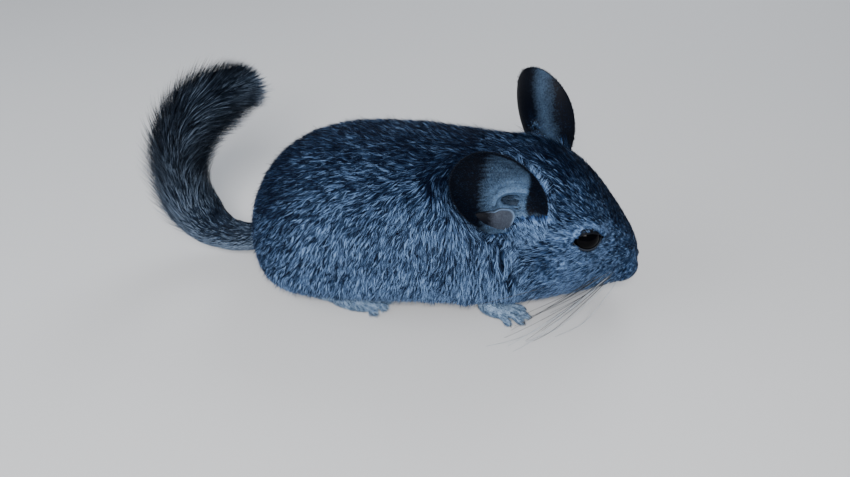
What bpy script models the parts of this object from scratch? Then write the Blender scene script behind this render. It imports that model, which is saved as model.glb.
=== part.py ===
"""A chinchilla crouched on level ground, nose low, tail curled up over its rump.

Lengths below are millimetres: +X towards the nose, +Y the animal's left, +Z up,
ground at Z = 0. Every node is a closed mesh, written in metres.
"""

import math
import random

import bmesh
import bpy
import numpy as np
from mathutils import Matrix, Vector

MM = 0.001
GAP = 0.3

# Trunk and head: x, half width, top, bottom, height of the greatest width.
PROFILE = (
    (-101.5, 8.0, 39.0, 20.0, 29.0),
    (-99.0, 18.5, 49.0, 9.0, 29.0),
    (-94.0, 28.5, 60.0, 1.0, 29.0),
    (-85.0, 38.0, 72.0, -2.0, 28.0),
    (-72.0, 44.5, 82.0, -3.0, 30.0),
    (-54.0, 47.0, 89.5, -3.0, 34.0),
    (-32.0, 46.5, 93.5, -3.0, 36.0),
    (-8.0, 44.0, 94.5, -3.0, 37.0),
    (12.0, 41.0, 94.0, -3.0, 36.0),
    (30.0, 37.0, 93.5, -3.0, 34.0),
    (44.0, 34.0, 92.5, -2.0, 33.0),
    (56.0, 31.0, 90.0, 0.0, 34.0),
    (67.0, 28.0, 84.0, 3.0, 35.0),
    (77.0, 24.0, 75.0, 6.0, 33.0),
    (86.0, 19.0, 64.0, 9.0, 30.0),
    (94.0, 14.5, 53.0, 11.5, 27.0),
    (100.5, 11.0, 42.5, 14.0, 25.5),
    (103.8, 7.5, 35.0, 18.5, 26.0),
)
SIDE_FULLNESS = 2.15

# Forms that swell from the trunk: centre, radii and turn in degrees, right side.
THIGH = ((-50.0, -25.0, 37.0), (34.0, 22.5, 33.0), (0.0, 12.0, 0.0))
UPPER_ARM = ((14.0, -20.0, 30.0), (21.0, 20.0, 26.0), (0.0, -20.0, 0.0))
CHEEK = ((66.0, -14.0, 34.0), (19.0, 13.5, 19.0), (0.0, 25.0, 0.0))
BROW = ((74.0, -13.5, 55.0), (14.0, 8.5, 9.0), (0.0, 38.0, 0.0))
WHISKER_PAD = ((96.5, -6.2, 24.5), (8.6, 7.4, 9.6), (0.0, 30.0, 0.0))
CHIN = ((93.5, 0.0, 14.5), (8.0, 5.0, 4.5), (0.0, 15.0, 0.0))

NECK_FRONT = ((38.0, 0.0, 60.0), (0.99, 0.0, 0.12))
NECK_BACK = ((22.0, 0.0, 60.0), (0.99, 0.0, 0.10))

EYE = (73.2, -16.8, 51.0)
EYE_LOOK = (0.30, -0.92, 0.25)
EYE_RADIUS = 8.0
EYE_LONG = 7.1
EYE_HIGH = 4.7
LID_THICK = 1.0

NOSE = (103.8, 0.0, 29.0)

# Ears: rim centre, direction of the length, direction the cup faces.
EAR_RIGHT = ((32.0, -35.5, 83.0), (-0.79, -0.10, 0.60), (0.32, -0.86, 0.40))
EAR_LEFT = ((50.5, 27.0, 91.5), (-0.30, 0.16, 0.94), (0.62, 0.78, 0.06))
EAR_HALF_LENGTH = 26.0
EAR_HALF_WIDTH = 16.8
EAR_DEPTH = 8.5
EAR_WALL = 1.5
# Folds in the cup, along and across it: two ridges and the flap by the canal.
EAR_RIDGES = (
    (((1.0, 0.5), (-4.2, 6.0), (-10.0, 9.0)), 1.1),
    (((-7.0, -8.0), (-3.0, -4.5), (-4.5, 1.5), (-9.5, 5.0)), 1.0),
)
EAR_FLAP = (-8.5, -9.0, 4.0)

# Paws: wrist or heel, then each toe as root, tip and radius, right side.
FOREPAW_PALM = ((33.0, -26.0, 4.2), (9.5, 5.6, 4.2), (0.0, 4.0, -14.0))
FOREPAW_WRIST = ((20.0, -22.0, 12.0), (30.0, -24.5, 6.0))
FORE_TOES = (
    ((37.0, -23.2, 3.2), (48.2, -22.6, 1.9), 1.9),
    ((38.0, -25.6, 3.4), (51.0, -28.0, 1.9), 2.0),
    ((37.5, -28.0, 3.4), (48.0, -32.8, 1.9), 2.0),
    ((34.5, -29.4, 3.2), (41.0, -35.0, 1.9), 1.9),
)
HINDPAW_SOLE = ((-44.0, -29.5, 4.0), (15.0, 6.0, 4.0), (0.0, 2.0, -8.0))
HINDPAW_HEEL = ((-66.0, -26.0, 8.0), (-52.0, -28.5, 5.0))
HIND_TOES = (
    ((-35.0, -27.0, 3.4), (-24.4, -26.2, 2.0), 2.1),
    ((-34.0, -30.0, 3.4), (-26.4, -31.8, 2.0), 2.2),
    ((-36.5, -32.4, 3.2), (-30.4, -36.2, 2.0), 2.0),
)
CLAW = 1.6

# Tail: centre line and radius out to the tips of its hair.
TAIL = (
    (-96.0, 0.0, 19.0, 7.5),
    (-109.0, 0.5, 15.0, 7.8),
    (-121.0, 1.0, 14.0, 8.6),
    (-132.5, 2.0, 18.2, 11.2),
    (-141.0, 3.0, 30.0, 13.6),
    (-143.0, 4.0, 46.0, 14.2),
    (-142.0, 4.5, 60.0, 14.6),
    (-138.0, 5.0, 74.0, 15.6),
    (-130.0, 5.0, 87.5, 16.2),
    (-118.5, 5.0, 98.5, 16.2),
    (-105.5, 5.0, 106.0, 15.0),
    (-95.5, 5.0, 110.5, 13.5),
)
TAIL_CUTS = (0.36, 0.66)

# Plume: tiers of flat locks over a core, from a few sizes, varied by seed.
PLUME_CORE = 0.46
COLLAR = 0.88
PLUME_TIERS = 10
LOCKS_ROUND = 9
LOCK_LENGTHS = (19.0, 26.0, 31.0)
LOCK_WIDTHS = (8.4, 9.6, 10.8)
LOCK_FLAT = 0.28
LOCK_END = 0.6
SPLAY_OUTER = 0.18

# Triangles left in a node that its many cuts have made dense.
NODE_TRIANGLES = {"head": 2300}

COAT = (0.115, 0.135, 0.175)
PALE = (0.34, 0.38, 0.45)
SKIN = (0.20, 0.22, 0.27)


def clear_scene():
    """Empties the scene and its meshes and materials."""
    for obj in list(bpy.data.objects):
        bpy.data.objects.remove(obj, do_unlink=True)
    for mesh in list(bpy.data.meshes):
        bpy.data.meshes.remove(mesh)
    for mat in list(bpy.data.materials):
        bpy.data.materials.remove(mat)


def material(name, colour, roughness):
    """A Principled material of one colour."""
    mat = bpy.data.materials.new(name)
    mat.use_nodes = True
    shader = mat.node_tree.nodes["Principled BSDF"]
    shader.inputs["Base Color"].default_value = (*colour, 1.0)
    shader.inputs["Roughness"].default_value = roughness
    return mat


def mesh_object(name, points, faces):
    """An object from points in millimetres, its faces turned outwards."""
    mesh = bpy.data.meshes.new(name)
    scaled = [tuple(float(v) * MM for v in p) for p in points]
    mesh.from_pydata(scaled, [], faces)
    mesh.update()
    build = bmesh.new()
    build.from_mesh(mesh)
    bmesh.ops.recalc_face_normals(build, faces=build.faces)
    build.to_mesh(mesh)
    build.free()
    obj = bpy.data.objects.new(name, mesh)
    bpy.context.collection.objects.link(obj)
    return obj


def drop(obj):
    """Removes an object and its mesh."""
    mesh = obj.data
    bpy.data.objects.remove(obj, do_unlink=True)
    bpy.data.meshes.remove(mesh)


def apply_all(obj):
    """Replaces the mesh of an object by its modified shape."""
    graph = bpy.context.evaluated_depsgraph_get()
    graph.update()
    shaped = bpy.data.meshes.new_from_object(obj.evaluated_get(graph))
    old = obj.data
    obj.modifiers.clear()
    obj.data = shaped
    bpy.data.meshes.remove(old)
    return obj


def copy_of(obj, name):
    """A separate object with a mesh of its own."""
    twin = bpy.data.objects.new(name, obj.data.copy())
    bpy.context.collection.objects.link(twin)
    return twin


def open_edges(mesh):
    """How many edges of the mesh don't lie between exactly two faces."""
    build = bmesh.new()
    build.from_mesh(mesh)
    count = sum(1 for edge in build.edges if len(edge.link_faces) != 2)
    build.free()
    return count


def boolean(obj, operation, tool=None, group=None, solvers=("EXACT", "MANIFOLD")):
    """Applies one Boolean, exact where that stays closed, else manifold."""
    before = obj.data.copy()
    for solver in solvers:
        step = obj.modifiers.new("join", "BOOLEAN")
        step.operation = operation
        step.solver = solver
        if group is None:
            step.object = tool
        else:
            step.operand_type = "COLLECTION"
            step.collection = group
        apply_all(obj)
        if solver != solvers[-1]:
            if not open_edges(obj.data):
                break
            broken = obj.data
            obj.data = before.copy()
            bpy.data.meshes.remove(broken)
    bpy.data.meshes.remove(before)
    return obj


def cut(obj, tool, operation="DIFFERENCE", keep_tool=False, solvers=("EXACT", "MANIFOLD")):
    """Applies one Boolean to the object, then drops the tool."""
    boolean(obj, operation, tool, solvers=solvers)
    if not keep_tool:
        drop(tool)
    return obj


def fuse(name, pieces, solvers=("EXACT", "MANIFOLD")):
    """One Boolean union of closed meshes, returned as the first of them."""
    group = bpy.data.collections.new(name + "_pieces")
    bpy.context.scene.collection.children.link(group)
    base = pieces[0]
    for piece in pieces[1:]:
        bpy.context.collection.objects.unlink(piece)
        group.objects.link(piece)
    boolean(base, "UNION", group=group, solvers=solvers)
    for piece in pieces[1:]:
        drop(piece)
    bpy.data.collections.remove(group)
    base.name = name
    return base


def keep_largest(obj):
    """Keeps only the largest closed surface of the object."""
    build = bmesh.new()
    build.from_mesh(obj.data)
    build.verts.ensure_lookup_table()
    seen = set()
    shells = []
    for start in build.verts:
        if start.index in seen:
            continue
        shell = [start]
        seen.add(start.index)
        for vert in shell:
            for edge in vert.link_edges:
                other = edge.other_vert(vert)
                if other.index not in seen:
                    seen.add(other.index)
                    shell.append(other)
        shells.append(shell)
    shells.sort(key=len)
    for shell in shells[:-1]:
        bmesh.ops.delete(build, geom=shell, context="VERTS")
    build.to_mesh(obj.data)
    build.free()
    return obj


def remesh(obj, voxel, rounds, factor=0.5):
    """Fuses what the object holds on a voxel grid and smooths it."""
    step = obj.modifiers.new("remesh", "REMESH")
    step.mode = "VOXEL"
    step.voxel_size = voxel * MM
    step.use_smooth_shade = True
    if rounds:
        soft = obj.modifiers.new("soft", "SMOOTH")
        soft.factor = factor
        soft.iterations = rounds
    return apply_all(obj)


def thin_out(obj, triangles):
    """Reduces the object to about this many triangles."""
    now = sum(len(face.vertices) - 2 for face in obj.data.polygons)
    if now <= triangles:
        return obj
    step = obj.modifiers.new("thin", "DECIMATE")
    step.ratio = triangles / now
    step.use_collapse_triangulate = True
    return apply_all(obj)


def join(name, pieces):
    """Puts the meshes of several objects in one object, surfaces crossing."""
    build = bmesh.new()
    for piece in pieces:
        build.from_mesh(piece.data)
    mesh = bpy.data.meshes.new(name)
    build.to_mesh(mesh)
    build.free()
    for piece in pieces:
        drop(piece)
    obj = bpy.data.objects.new(name, mesh)
    bpy.context.collection.objects.link(obj)
    return obj


def turned(degrees):
    """A rotation matrix from turns about X, Y and Z."""
    turn = Matrix.Identity(3)
    for axis, angle in zip("XYZ", degrees):
        turn = Matrix.Rotation(math.radians(angle), 3, axis) @ turn
    return turn


def mirrored(point):
    """The point on the other side of the middle plane."""
    return (point[0], -point[1], point[2])


def ellipsoid(name, centre, radii, degrees=(0, 0, 0), side=-1, fineness=24):
    """A closed ellipsoid; side 1 puts a right-hand form on the left."""
    build = bmesh.new()
    bmesh.ops.create_uvsphere(
        build, u_segments=fineness, v_segments=fineness // 2, radius=1.0
    )
    turn = turned(degrees)
    points = []
    for vert in build.verts:
        local = Vector(vert.co[i] * radii[i] for i in range(3))
        at = turn @ local + Vector(centre)
        points.append((at.x, at.y if side < 0 else -at.y, at.z))
    faces = [[v.index for v in face.verts] for face in build.faces]
    build.free()
    return mesh_object(name, points, faces)


def slab(name, point, normal, reach=400.0):
    """A large block whose one face passes the point, lying along the normal."""
    up = Vector(normal).normalized()
    turn = up.to_track_quat("Z", "Y").to_matrix()
    points = []
    for z in (0.0, reach):
        for x, y in ((-1, -1), (1, -1), (1, 1), (-1, 1)):
            local = Vector((x * reach / 2, y * reach / 2, z))
            points.append(tuple(turn @ local + Vector(point)))
    faces = [
        (0, 3, 2, 1),
        (4, 5, 6, 7),
        (0, 1, 5, 4),
        (1, 2, 6, 5),
        (2, 3, 7, 6),
        (3, 0, 4, 7),
    ]
    return mesh_object(name, points, faces)


def smooth_rows(rows, count):
    """Rows of numbers resampled along a smooth curve through them."""
    rows = np.array(rows, float)
    steps = np.linalg.norm(np.diff(rows[:, :3], axis=0), axis=1)
    at = np.concatenate([[0.0], np.cumsum(steps)])
    slope = np.gradient(rows, at, axis=0)
    out = []
    for s in np.linspace(0.0, at[-1], count):
        i = min(int(np.searchsorted(at, s, side="right")) - 1, len(at) - 2)
        h = at[i + 1] - at[i]
        t = (s - at[i]) / h
        out.append(
            (2 * t**3 - 3 * t**2 + 1) * rows[i]
            + (t**3 - 2 * t**2 + t) * h * slope[i]
            + (3 * t**2 - 2 * t**3) * rows[i + 1]
            + (t**3 - t**2) * h * slope[i + 1]
        )
    return np.array(out)


def ring_loft(name, rings):
    """A closed mesh through rings of equally many points."""
    count = len(rings[0])
    points = [tuple(p) for ring in rings for p in ring]
    faces = []
    for i in range(len(rings) - 1):
        for j in range(count):
            k = (j + 1) % count
            a = i * count
            faces.append((a + j, a + k, a + count + k, a + count + j))
    faces.append(tuple(range(count))[::-1])
    last = (len(rings) - 1) * count
    faces.append(tuple(range(last, last + count)))
    return mesh_object(name, points, faces)


def frames_along(line):
    """Unit tangents and two normals along a polyline, without twist."""
    tangents = np.gradient(line, axis=0)
    tangents /= np.linalg.norm(tangents, axis=1, keepdims=True)
    side = np.cross(tangents[0], (0.0, 0.0, 1.0))
    if np.linalg.norm(side) < 0.1:
        side = np.cross(tangents[0], (0.0, 1.0, 0.0))
    sides = []
    for tangent in tangents:
        side = side - tangent * side.dot(tangent)
        side = side / np.linalg.norm(side)
        sides.append(side)
    sides = np.array(sides)
    return tangents, sides, np.cross(sides, tangents)


def tube(name, line, radii, sides=12, flat=1.0):
    """A closed tube along a line; flat scales its second radius."""
    line = np.array(line, float)
    tangents, across, over = frames_along(line)
    rings = []
    for i, centre in enumerate(line):
        ring = []
        for j in range(sides):
            angle = 2 * math.pi * j / sides
            ring.append(
                centre
                + across[i] * math.cos(angle) * radii[i]
                + over[i] * math.sin(angle) * radii[i] * flat
            )
        rings.append(ring)
    return ring_loft(name, rings)


def trunk():
    """The whole body but its ears, eyes, paws and tail, as one smooth form."""
    rows = smooth_rows(PROFILE, 120)
    rings = []
    for x, half, top, bottom, wide in rows:
        ring = []
        for j in range(72):
            angle = 2 * math.pi * j / 72
            c, s = math.cos(angle), math.sin(angle)
            power = 2.0 / (2.0 if s > 0 else SIDE_FULLNESS)
            y = half * math.copysign(abs(c) ** power, c)
            reach = top - wide if s > 0 else wide - bottom
            z = wide + reach * math.copysign(abs(s) ** power, s)
            ring.append((x, y, max(z, -1.5)))
        rings.append(ring)
    pieces = [ring_loft("trunk", rings)]
    for form in (THIGH, UPPER_ARM, CHEEK, BROW, WHISKER_PAD):
        for side in (-1, 1):
            pieces.append(ellipsoid("form", *form, side=side, fineness=40))
    pieces.append(ellipsoid("chin", *CHIN, fineness=32))
    pieces.append(ellipsoid("nose_end", NOSE, (2.2, 3.6, 2.9), fineness=32))
    whole = remesh(join("trunk", pieces), 1.1, 6)
    return whole


def eye_frame(side):
    """The centre of an eye and the directions out, forward and up there."""
    out = Vector(EYE_LOOK)
    centre = Vector(EYE)
    if side > 0:
        out.y = -out.y
        centre.y = -centre.y
    out.normalize()
    forward = Vector((1.0, 0.0, 0.10))
    forward = (forward - out * forward.dot(out)).normalized()
    up = out.cross(forward) if side < 0 else forward.cross(out)
    if up.z < 0:
        up = -up
    return centre, out, forward, up


def lid_line(side, grow, radius, count=40):
    """Points of the almond opening on a sphere of this radius."""
    centre, out, forward, up = eye_frame(side)
    line = []
    for j in range(count):
        angle = 2 * math.pi * j / count
        c, s = math.cos(angle), math.sin(angle)
        along = (EYE_LONG + grow) * c
        high = EYE_HIGH + grow
        rise = high * (0.86 * s if s > 0 else s) * (1 - 0.25 * c * c)
        depth = math.sqrt(max(radius**2 - along**2 - rise**2, 0.5))
        line.append(centre + forward * along + up * rise + out * depth)
    return line


def closed_tube(name, line, radius, sides=8):
    """A ring-shaped tube along a closed line."""
    line = np.array([tuple(p) for p in line])
    count = len(line)
    points = []
    centre = line.mean(axis=0)
    for i in range(count):
        tangent = line[(i + 1) % count] - line[i - 1]
        tangent /= np.linalg.norm(tangent)
        outward = line[i] - centre
        outward -= tangent * outward.dot(tangent)
        outward /= np.linalg.norm(outward)
        over = np.cross(tangent, outward)
        for j in range(sides):
            angle = 2 * math.pi * j / sides
            reach = outward * math.cos(angle) + over * math.sin(angle)
            points.append(line[i] + reach * radius)
    faces = []
    for i in range(count):
        for j in range(sides):
            a = i * sides + j
            b = i * sides + (j + 1) % sides
            c = ((i + 1) % count) * sides + (j + 1) % sides
            d = ((i + 1) % count) * sides + j
            faces.append((a, b, c, d))
    return mesh_object(name, points, faces)


def almond_prism(side, grow):
    """The cutter that opens the lids, from inside the eye outwards."""
    centre, out, _, _ = eye_frame(side)
    rim = lid_line(side, grow, EYE_RADIUS)
    inner = [tuple(p - out * 5.0) for p in rim]
    outer = [tuple(p + out * 8.0) for p in rim]
    return ring_loft("opening", [inner, outer])


def open_eyes(head):
    """Lids raised round each eye, an almond opening and the socket behind."""
    for side in (-1, 1):
        centre, _, _, _ = eye_frame(side)
        cover = ellipsoid(
            "cover", centre, (EYE_RADIUS + LID_THICK + 0.2,) * 3, fineness=24
        )
        ring = lid_line(side, 0.5, EYE_RADIUS + 0.9)
        head = fuse("head", [head, cover, closed_tube("lid", ring, 1.0)])
        cut(head, almond_prism(side, 0.0))
        socket = ellipsoid("socket", centre, (EYE_RADIUS + GAP,) * 3, fineness=24)
        cut(head, socket)
    return keep_largest(head)


def eye(side):
    """An eyeball."""
    name = "eye_right" if side < 0 else "eye_left"
    centre, _, _, _ = eye_frame(side)
    return ellipsoid(name, centre, (EYE_RADIUS,) * 3, fineness=18)


def surface_point(obj, start, direction):
    """Where a ray in millimetres first meets the object."""
    found, at, _, _ = obj.ray_cast(Vector(start) * MM, Vector(direction).normalized())
    return at / MM if found else None


def shape_mouth(head):
    """Nostrils, the cleft below the nose and the line between the lips."""
    tools = []
    for side in (-1, 1):
        line = [
            (NOSE[0] + 3.4, side * 1.1, NOSE[2] - 1.0),
            (NOSE[0] + 2.6, side * 2.4, NOSE[2] + 0.3),
            (NOSE[0] + 0.6, side * 4.2, NOSE[2] + 0.6),
        ]
        tools.append(tube("nostril", smooth_rows(line, 6), [0.55, 0.8, 0.9, 0.85, 0.7, 0.5], 6))
    cleft = []
    for drop_angle in np.linspace(-8.0, -62.0, 9):
        angle = math.radians(drop_angle)
        ray = Vector((math.cos(angle), 0.0, math.sin(angle)))
        middle = Vector((96.0, 0.0, 25.0))
        at = surface_point(head, middle + ray * 40, -ray)
        if at is not None:
            cleft.append(at)
    tools.append(tube("cleft", cleft, [0.55] * len(cleft), 6))
    for side in (-1, 1):
        lips = []
        for turn in np.linspace(0.0, 88.0, 10):
            angle = math.radians(turn)
            low = math.radians(-58.0 + 0.16 * turn)
            ray = Vector(
                (
                    math.cos(angle) * math.cos(low),
                    side * math.sin(angle) * math.cos(low),
                    math.sin(low),
                )
            )
            middle = Vector((92.0 - turn * 0.05, 0.0, 24.0))
            at = surface_point(head, middle + ray * 40, -ray)
            if at is not None:
                lips.append(at)
        tools.append(tube("lips", lips, np.linspace(0.7, 0.4, len(lips)), 6))
    for tool in tools:
        cut(head, tool)
    return keep_largest(head)


def ear_frame(ear):
    """Origin and directions of length, width and facing of an ear."""
    centre = np.array(ear[0])
    along = np.array(ear[1]) / np.linalg.norm(ear[1])
    facing = np.array(ear[2]) - along * np.dot(ear[2], along)
    facing /= np.linalg.norm(facing)
    return centre, along, np.cross(facing, along), facing


def ear_point(frame, r, angle, lift=0.0):
    """A point of the inner face of the cup; r runs from floor to rim."""
    centre, along, width, facing = frame
    c, s = math.cos(angle), math.sin(angle)
    x = EAR_HALF_LENGTH * r * c
    y = EAR_HALF_WIDTH * r * s * (1.0 + 0.10 * c)
    depth = EAR_DEPTH * (1.0 - r**3.4) * (1.0 - 0.12 * c)
    bend = 3.0 * (r * c) ** 2
    return centre + along * x + width * y - facing * (depth + bend - lift)


def cup(frame, wall):
    """The closed shell of the cup."""
    rings, count = 12, 48
    inner, outer = [], []
    for i in range(1, rings + 1):
        r = (i / rings) ** 0.8
        row_in, row_out = [], []
        for j in range(count):
            angle = 2 * math.pi * j / count
            at = ear_point(frame, r, angle)
            toward = ear_point(frame, r, angle + 0.02) - ear_point(frame, r, angle - 0.02)
            radial = ear_point(frame, r + 0.01, angle) - ear_point(frame, r - 0.01, angle)
            normal = np.cross(toward, radial)
            normal /= np.linalg.norm(normal)
            if np.dot(normal, frame[3]) > 0:
                normal = -normal
            row_in.append(at)
            row_out.append(at + normal * wall * (1.0 - 0.35 * r**4))
        inner.append(row_in)
        outer.append(row_out)
    floor_in = ear_point(frame, 0.0, 0.0)
    points = [floor_in] + [p for row in inner for p in row]
    base = len(points)
    points += [floor_in - frame[3] * wall] + [p for row in outer for p in row]
    faces = []
    for start in (0, base):
        for j in range(count):
            faces.append((start, start + 1 + j, start + 1 + (j + 1) % count))
        for i in range(rings - 1):
            for j in range(count):
                a = start + 1 + i * count
                k = (j + 1) % count
                faces.append((a + j, a + k, a + count + k, a + count + j))
    last = 1 + (rings - 1) * count
    for j in range(count):
        k = (j + 1) % count
        faces.append((last + j, last + k, base + last + k, base + last + j))
    return mesh_object("cup", points, faces)


def hollow_filled(side, shape):
    """The space that an ear takes, its cup filled up to the rim."""
    frame = ear_frame(EAR_RIGHT if side < 0 else EAR_LEFT)
    rings, count = [], 40
    for r, lift in ((1.0, 0.6), (0.99, -0.6), (0.9, 0.0), (0.75, 0.0), (0.4, 0.0)):
        ring = []
        for j in range(count):
            at = ear_point(frame, r, 2 * math.pi * j / count)
            ring.append(at + frame[3] * lift)
        rings.append(ring)
    fill = ring_loft("fill", rings)
    whole = remesh(join("filled", [copy_of(shape, "filled"), fill]), 0.8, 2)
    return thin_out(whole, 320)


def ear(side):
    """An ear: its cup, the folds inside it and its root on the head."""
    form = EAR_RIGHT if side < 0 else EAR_LEFT
    frame = ear_frame(form)
    centre, along, width, facing = frame
    front = 1.0 if np.dot(width, (1.0, 0.0, 0.0)) > 0 else -1.0
    pieces = [cup(frame, EAR_WALL)]
    roll = []
    for turn in np.linspace(55.0, 192.0, 12):
        at = ear_point(frame, 0.95, math.radians(turn) * front)
        roll.append(at + facing * 0.2)
    sizes = np.interp(np.linspace(0, 1, 12), (0, 0.6, 1), (0.8, 2.1, 1.3))
    pieces.append(tube("roll", roll, sizes, 8))
    for path, size in EAR_RIDGES:
        ridge = []
        for x, y in path:
            r = math.hypot(x / EAR_HALF_LENGTH, y / EAR_HALF_WIDTH)
            turn = math.atan2(y / EAR_HALF_WIDTH * front, x / EAR_HALF_LENGTH)
            ridge.append(ear_point(frame, r, turn, 0.5))
        sizes = np.interp(np.linspace(0, 1, 9), (0, 0.4, 1), (0.4, size, 0.4))
        pieces.append(tube("ridge", smooth_rows(ridge, 9), sizes, 8))
    flap = centre + along * EAR_FLAP[0] + width * front * EAR_FLAP[1] - facing * EAR_FLAP[2]
    turn = Matrix((along, width, facing)).transposed() @ turned((0.0, 18.0, 35.0 * front))
    flap_form = ellipsoid("flap", (0, 0, 0), (6.6, 5.2, 1.9))
    flap_form.data.transform(Matrix.Translation(Vector(flap) * MM) @ turn.to_4x4())
    pieces.append(flap_form)
    root = centre - along * 14.0 - facing * (EAR_DEPTH + 4.0)
    inward = (0.35, 0.85, -0.35) if side < 0 else (0.05, -0.75, -0.66)
    root_end = root + np.array(inward) / np.linalg.norm(inward) * 11.0
    stalk = smooth_rows([tuple(root + along * 5.0), tuple(root), tuple(root_end)], 7)
    pieces.append(tube("stalk", stalk, [4.6, 5.6, 6.4, 7.0, 7.4, 7.6, 7.6], 16))
    name = "ear_right" if side < 0 else "ear_left"
    whole = remesh(join(name, pieces), 0.5, 3)
    canal = ear_point(frame, 0.39, math.radians(176.0) * front)
    hole = tube(
        "canal",
        [canal + facing * 4.0, canal, canal - facing * 3.6 - along * 2.4],
        [3.6, 3.0, 1.6],
        12,
    )
    cut(whole, hole)
    thin_out(whole, 800)
    return keep_largest(whole)


def paw(name, side, palm, limb, toes, limb_radii):
    """A paw with toes and short claws, flat at the ground."""
    pieces = [ellipsoid("palm", *palm, side=side, fineness=28)]
    flip = mirrored if side > 0 else tuple
    pieces.append(tube("limb", smooth_rows([flip(p) for p in limb], 5), limb_radii, 14))
    for root, tip, radius in toes:
        root, tip = Vector(flip(root)), Vector(flip(tip))
        back = root + (root - tip) * 0.4
        knuckle = root.lerp(tip, 0.45) + Vector((0, 0, 0.9))
        line = smooth_rows([tuple(back), tuple(knuckle), tuple(tip)], 8)
        radii = [radius * f for f in (0.9, 1.0, 1.0, 0.95, 0.95, 1.05, 1.0, 0.7)]
        pieces.append(tube("toe", line, radii, 10))
    whole = remesh(join(name, pieces), 0.45, 3)
    claws = []
    for root, tip, radius in toes:
        root, tip = Vector(flip(root)), Vector(flip(tip))
        ahead = (tip - root).normalized()
        line = [
            tuple(tip - ahead * 1.0 + Vector((0, 0, 0.7))),
            tuple(tip + ahead * 0.9 + Vector((0, 0, 0.6))),
            tuple(tip + ahead * CLAW + Vector((0, 0, -0.9))),
        ]
        claws.append(tube("claw", line, [0.75, 0.7, 0.3], 5))
    thin_out(whole, 330)
    whole = fuse(name, [whole] + claws)
    cut(whole, slab("ground", (0, 0, 0), (0, 0, -1)))
    return keep_largest(whole)


class TailPath:
    """The centre line of the tail with a frame and a radius at each distance."""

    def __init__(self):
        rows = smooth_rows(TAIL, 200)
        self.line = rows[:, :3]
        self.radii = rows[:, 3]
        steps = np.linalg.norm(np.diff(self.line, axis=0), axis=1)
        self.at = np.concatenate([[0.0], np.cumsum(steps)])
        self.length = self.at[-1]
        self.tangents = np.gradient(self.line, self.at, axis=0)

    def frame(self, s):
        """Centre, tangent, outward normal of the curl and sideways normal."""
        inside = min(s, self.length)
        centre = np.array([np.interp(inside, self.at, self.line[:, i]) for i in range(3)])
        way = np.array([np.interp(inside, self.at, self.tangents[:, i]) for i in range(3)])
        way /= np.linalg.norm(way)
        side = np.array((0.0, 1.0, 0.0))
        side -= way * side.dot(way)
        side /= np.linalg.norm(side)
        centre = centre + way * (s - inside)
        return centre, way, np.cross(way, side), side

    def radius(self, s):
        """Distance from the centre line to the tips of the hair."""
        return float(np.interp(s, self.at, self.radii))

    def core(self, s):
        """Radius of the core that the locks grow from."""
        start = TAIL_CUTS[0] * self.length
        ease = min(max((s - start) / 16.0, 0.0), 1.0)
        share = 0.96 + (PLUME_CORE - 0.96) * ease * ease * (3 - 2 * ease)
        past = s - TAIL_CUTS[1] * self.length
        if -1.0 < past < 5.0:
            share = max(share, COLLAR - (COLLAR - PLUME_CORE) * max(past - 1.0, 0.0) / 4.0)
        return self.radius(s) * (share if s > start else 1.0)


def lock(path, start, angle, length, width, spread, twist):
    """One flat tapered lock, rooted in the core and bent along the tail."""
    rings = []
    root = path.core(start) * 0.72
    tip_radius = path.radius(min(start + length, path.length)) * spread
    for i, t in enumerate((0.0, 0.38, 0.74, 1.0)):
        s = start + length * t
        turn = angle + twist * t
        rise = 1.0 - (1.0 - t) ** 1.7
        r = root + (tip_radius - root) * rise
        centre, way, outer, side = path.frame(s)
        radial = outer * math.cos(turn) + side * math.sin(turn)
        across = -outer * math.sin(turn) + side * math.cos(turn)
        half = width * (0.34, 0.50, 0.38, 0.0)[i] + (LOCK_END / 2 if t == 1.0 else 0.0)
        thick = max(half * LOCK_FLAT, 0.3 if t == 1.0 else 0.5)
        at = centre + radial * r
        rings.append(
            (at + across * half, at + radial * thick, at - across * half, at - radial * thick)
        )
    return ring_loft("lock", rings)


def tail_whole():
    """The tail: short coat at its root, then a core with its tiers of locks."""
    path = TailPath()
    end = path.length * 0.90
    parting = TAIL_CUTS[1] * path.length
    stations = np.linspace(0.0, end, 28)
    stations = [s for s in stations if abs(s - parting - 1.5) > 4.0]
    stations += [parting - 1.2, parting - 0.9, parting + 1.0, parting + 3.0, parting + 5.0]
    stations = sorted(stations)
    line = [path.frame(s)[0] for s in stations]
    radii = np.array([path.core(s) for s in stations])
    radii[-3:] *= (0.95, 0.80, 0.50)
    pieces = [tube("tail", line, radii, 18)]
    chance = random.Random(7)
    start = TAIL_CUTS[0] * path.length + 1.0
    for tier in range(PLUME_TIERS):
        share = tier / (PLUME_TIERS - 1)
        base = start + (end - 3.0 - start) * share
        for j in range(LOCKS_ROUND):
            angle = 2 * math.pi * (j + 0.5 * (tier % 2) + chance.uniform(-0.18, 0.18)) / LOCKS_ROUND
            length = LOCK_LENGTHS[min(tier // 2, 2)] * chance.uniform(0.88, 1.08)
            length = min(length, path.length * 1.005 - base + chance.uniform(-2.0, 1.5))
            outward = 0.5 + 0.5 * math.cos(angle)
            spread = 0.97 + SPLAY_OUTER * outward * chance.uniform(0.2, 1.0) - chance.uniform(0.0, 0.10)
            width = chance.choice(LOCK_WIDTHS) * (0.85 + 0.15 * share)
            twist = chance.uniform(-0.16, 0.16)
            where = base + chance.uniform(-1.6, 1.6)
            pieces.append(lock(path, where, angle, length, width, spread, twist))
    return path, fuse("tail", pieces, ("MANIFOLD",))


def finish_nodes(nodes):
    """Brings each body node to the number of triangles it needs."""
    for name, count in NODE_TRIANGLES.items():
        thin_out(nodes[name], count)


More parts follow.
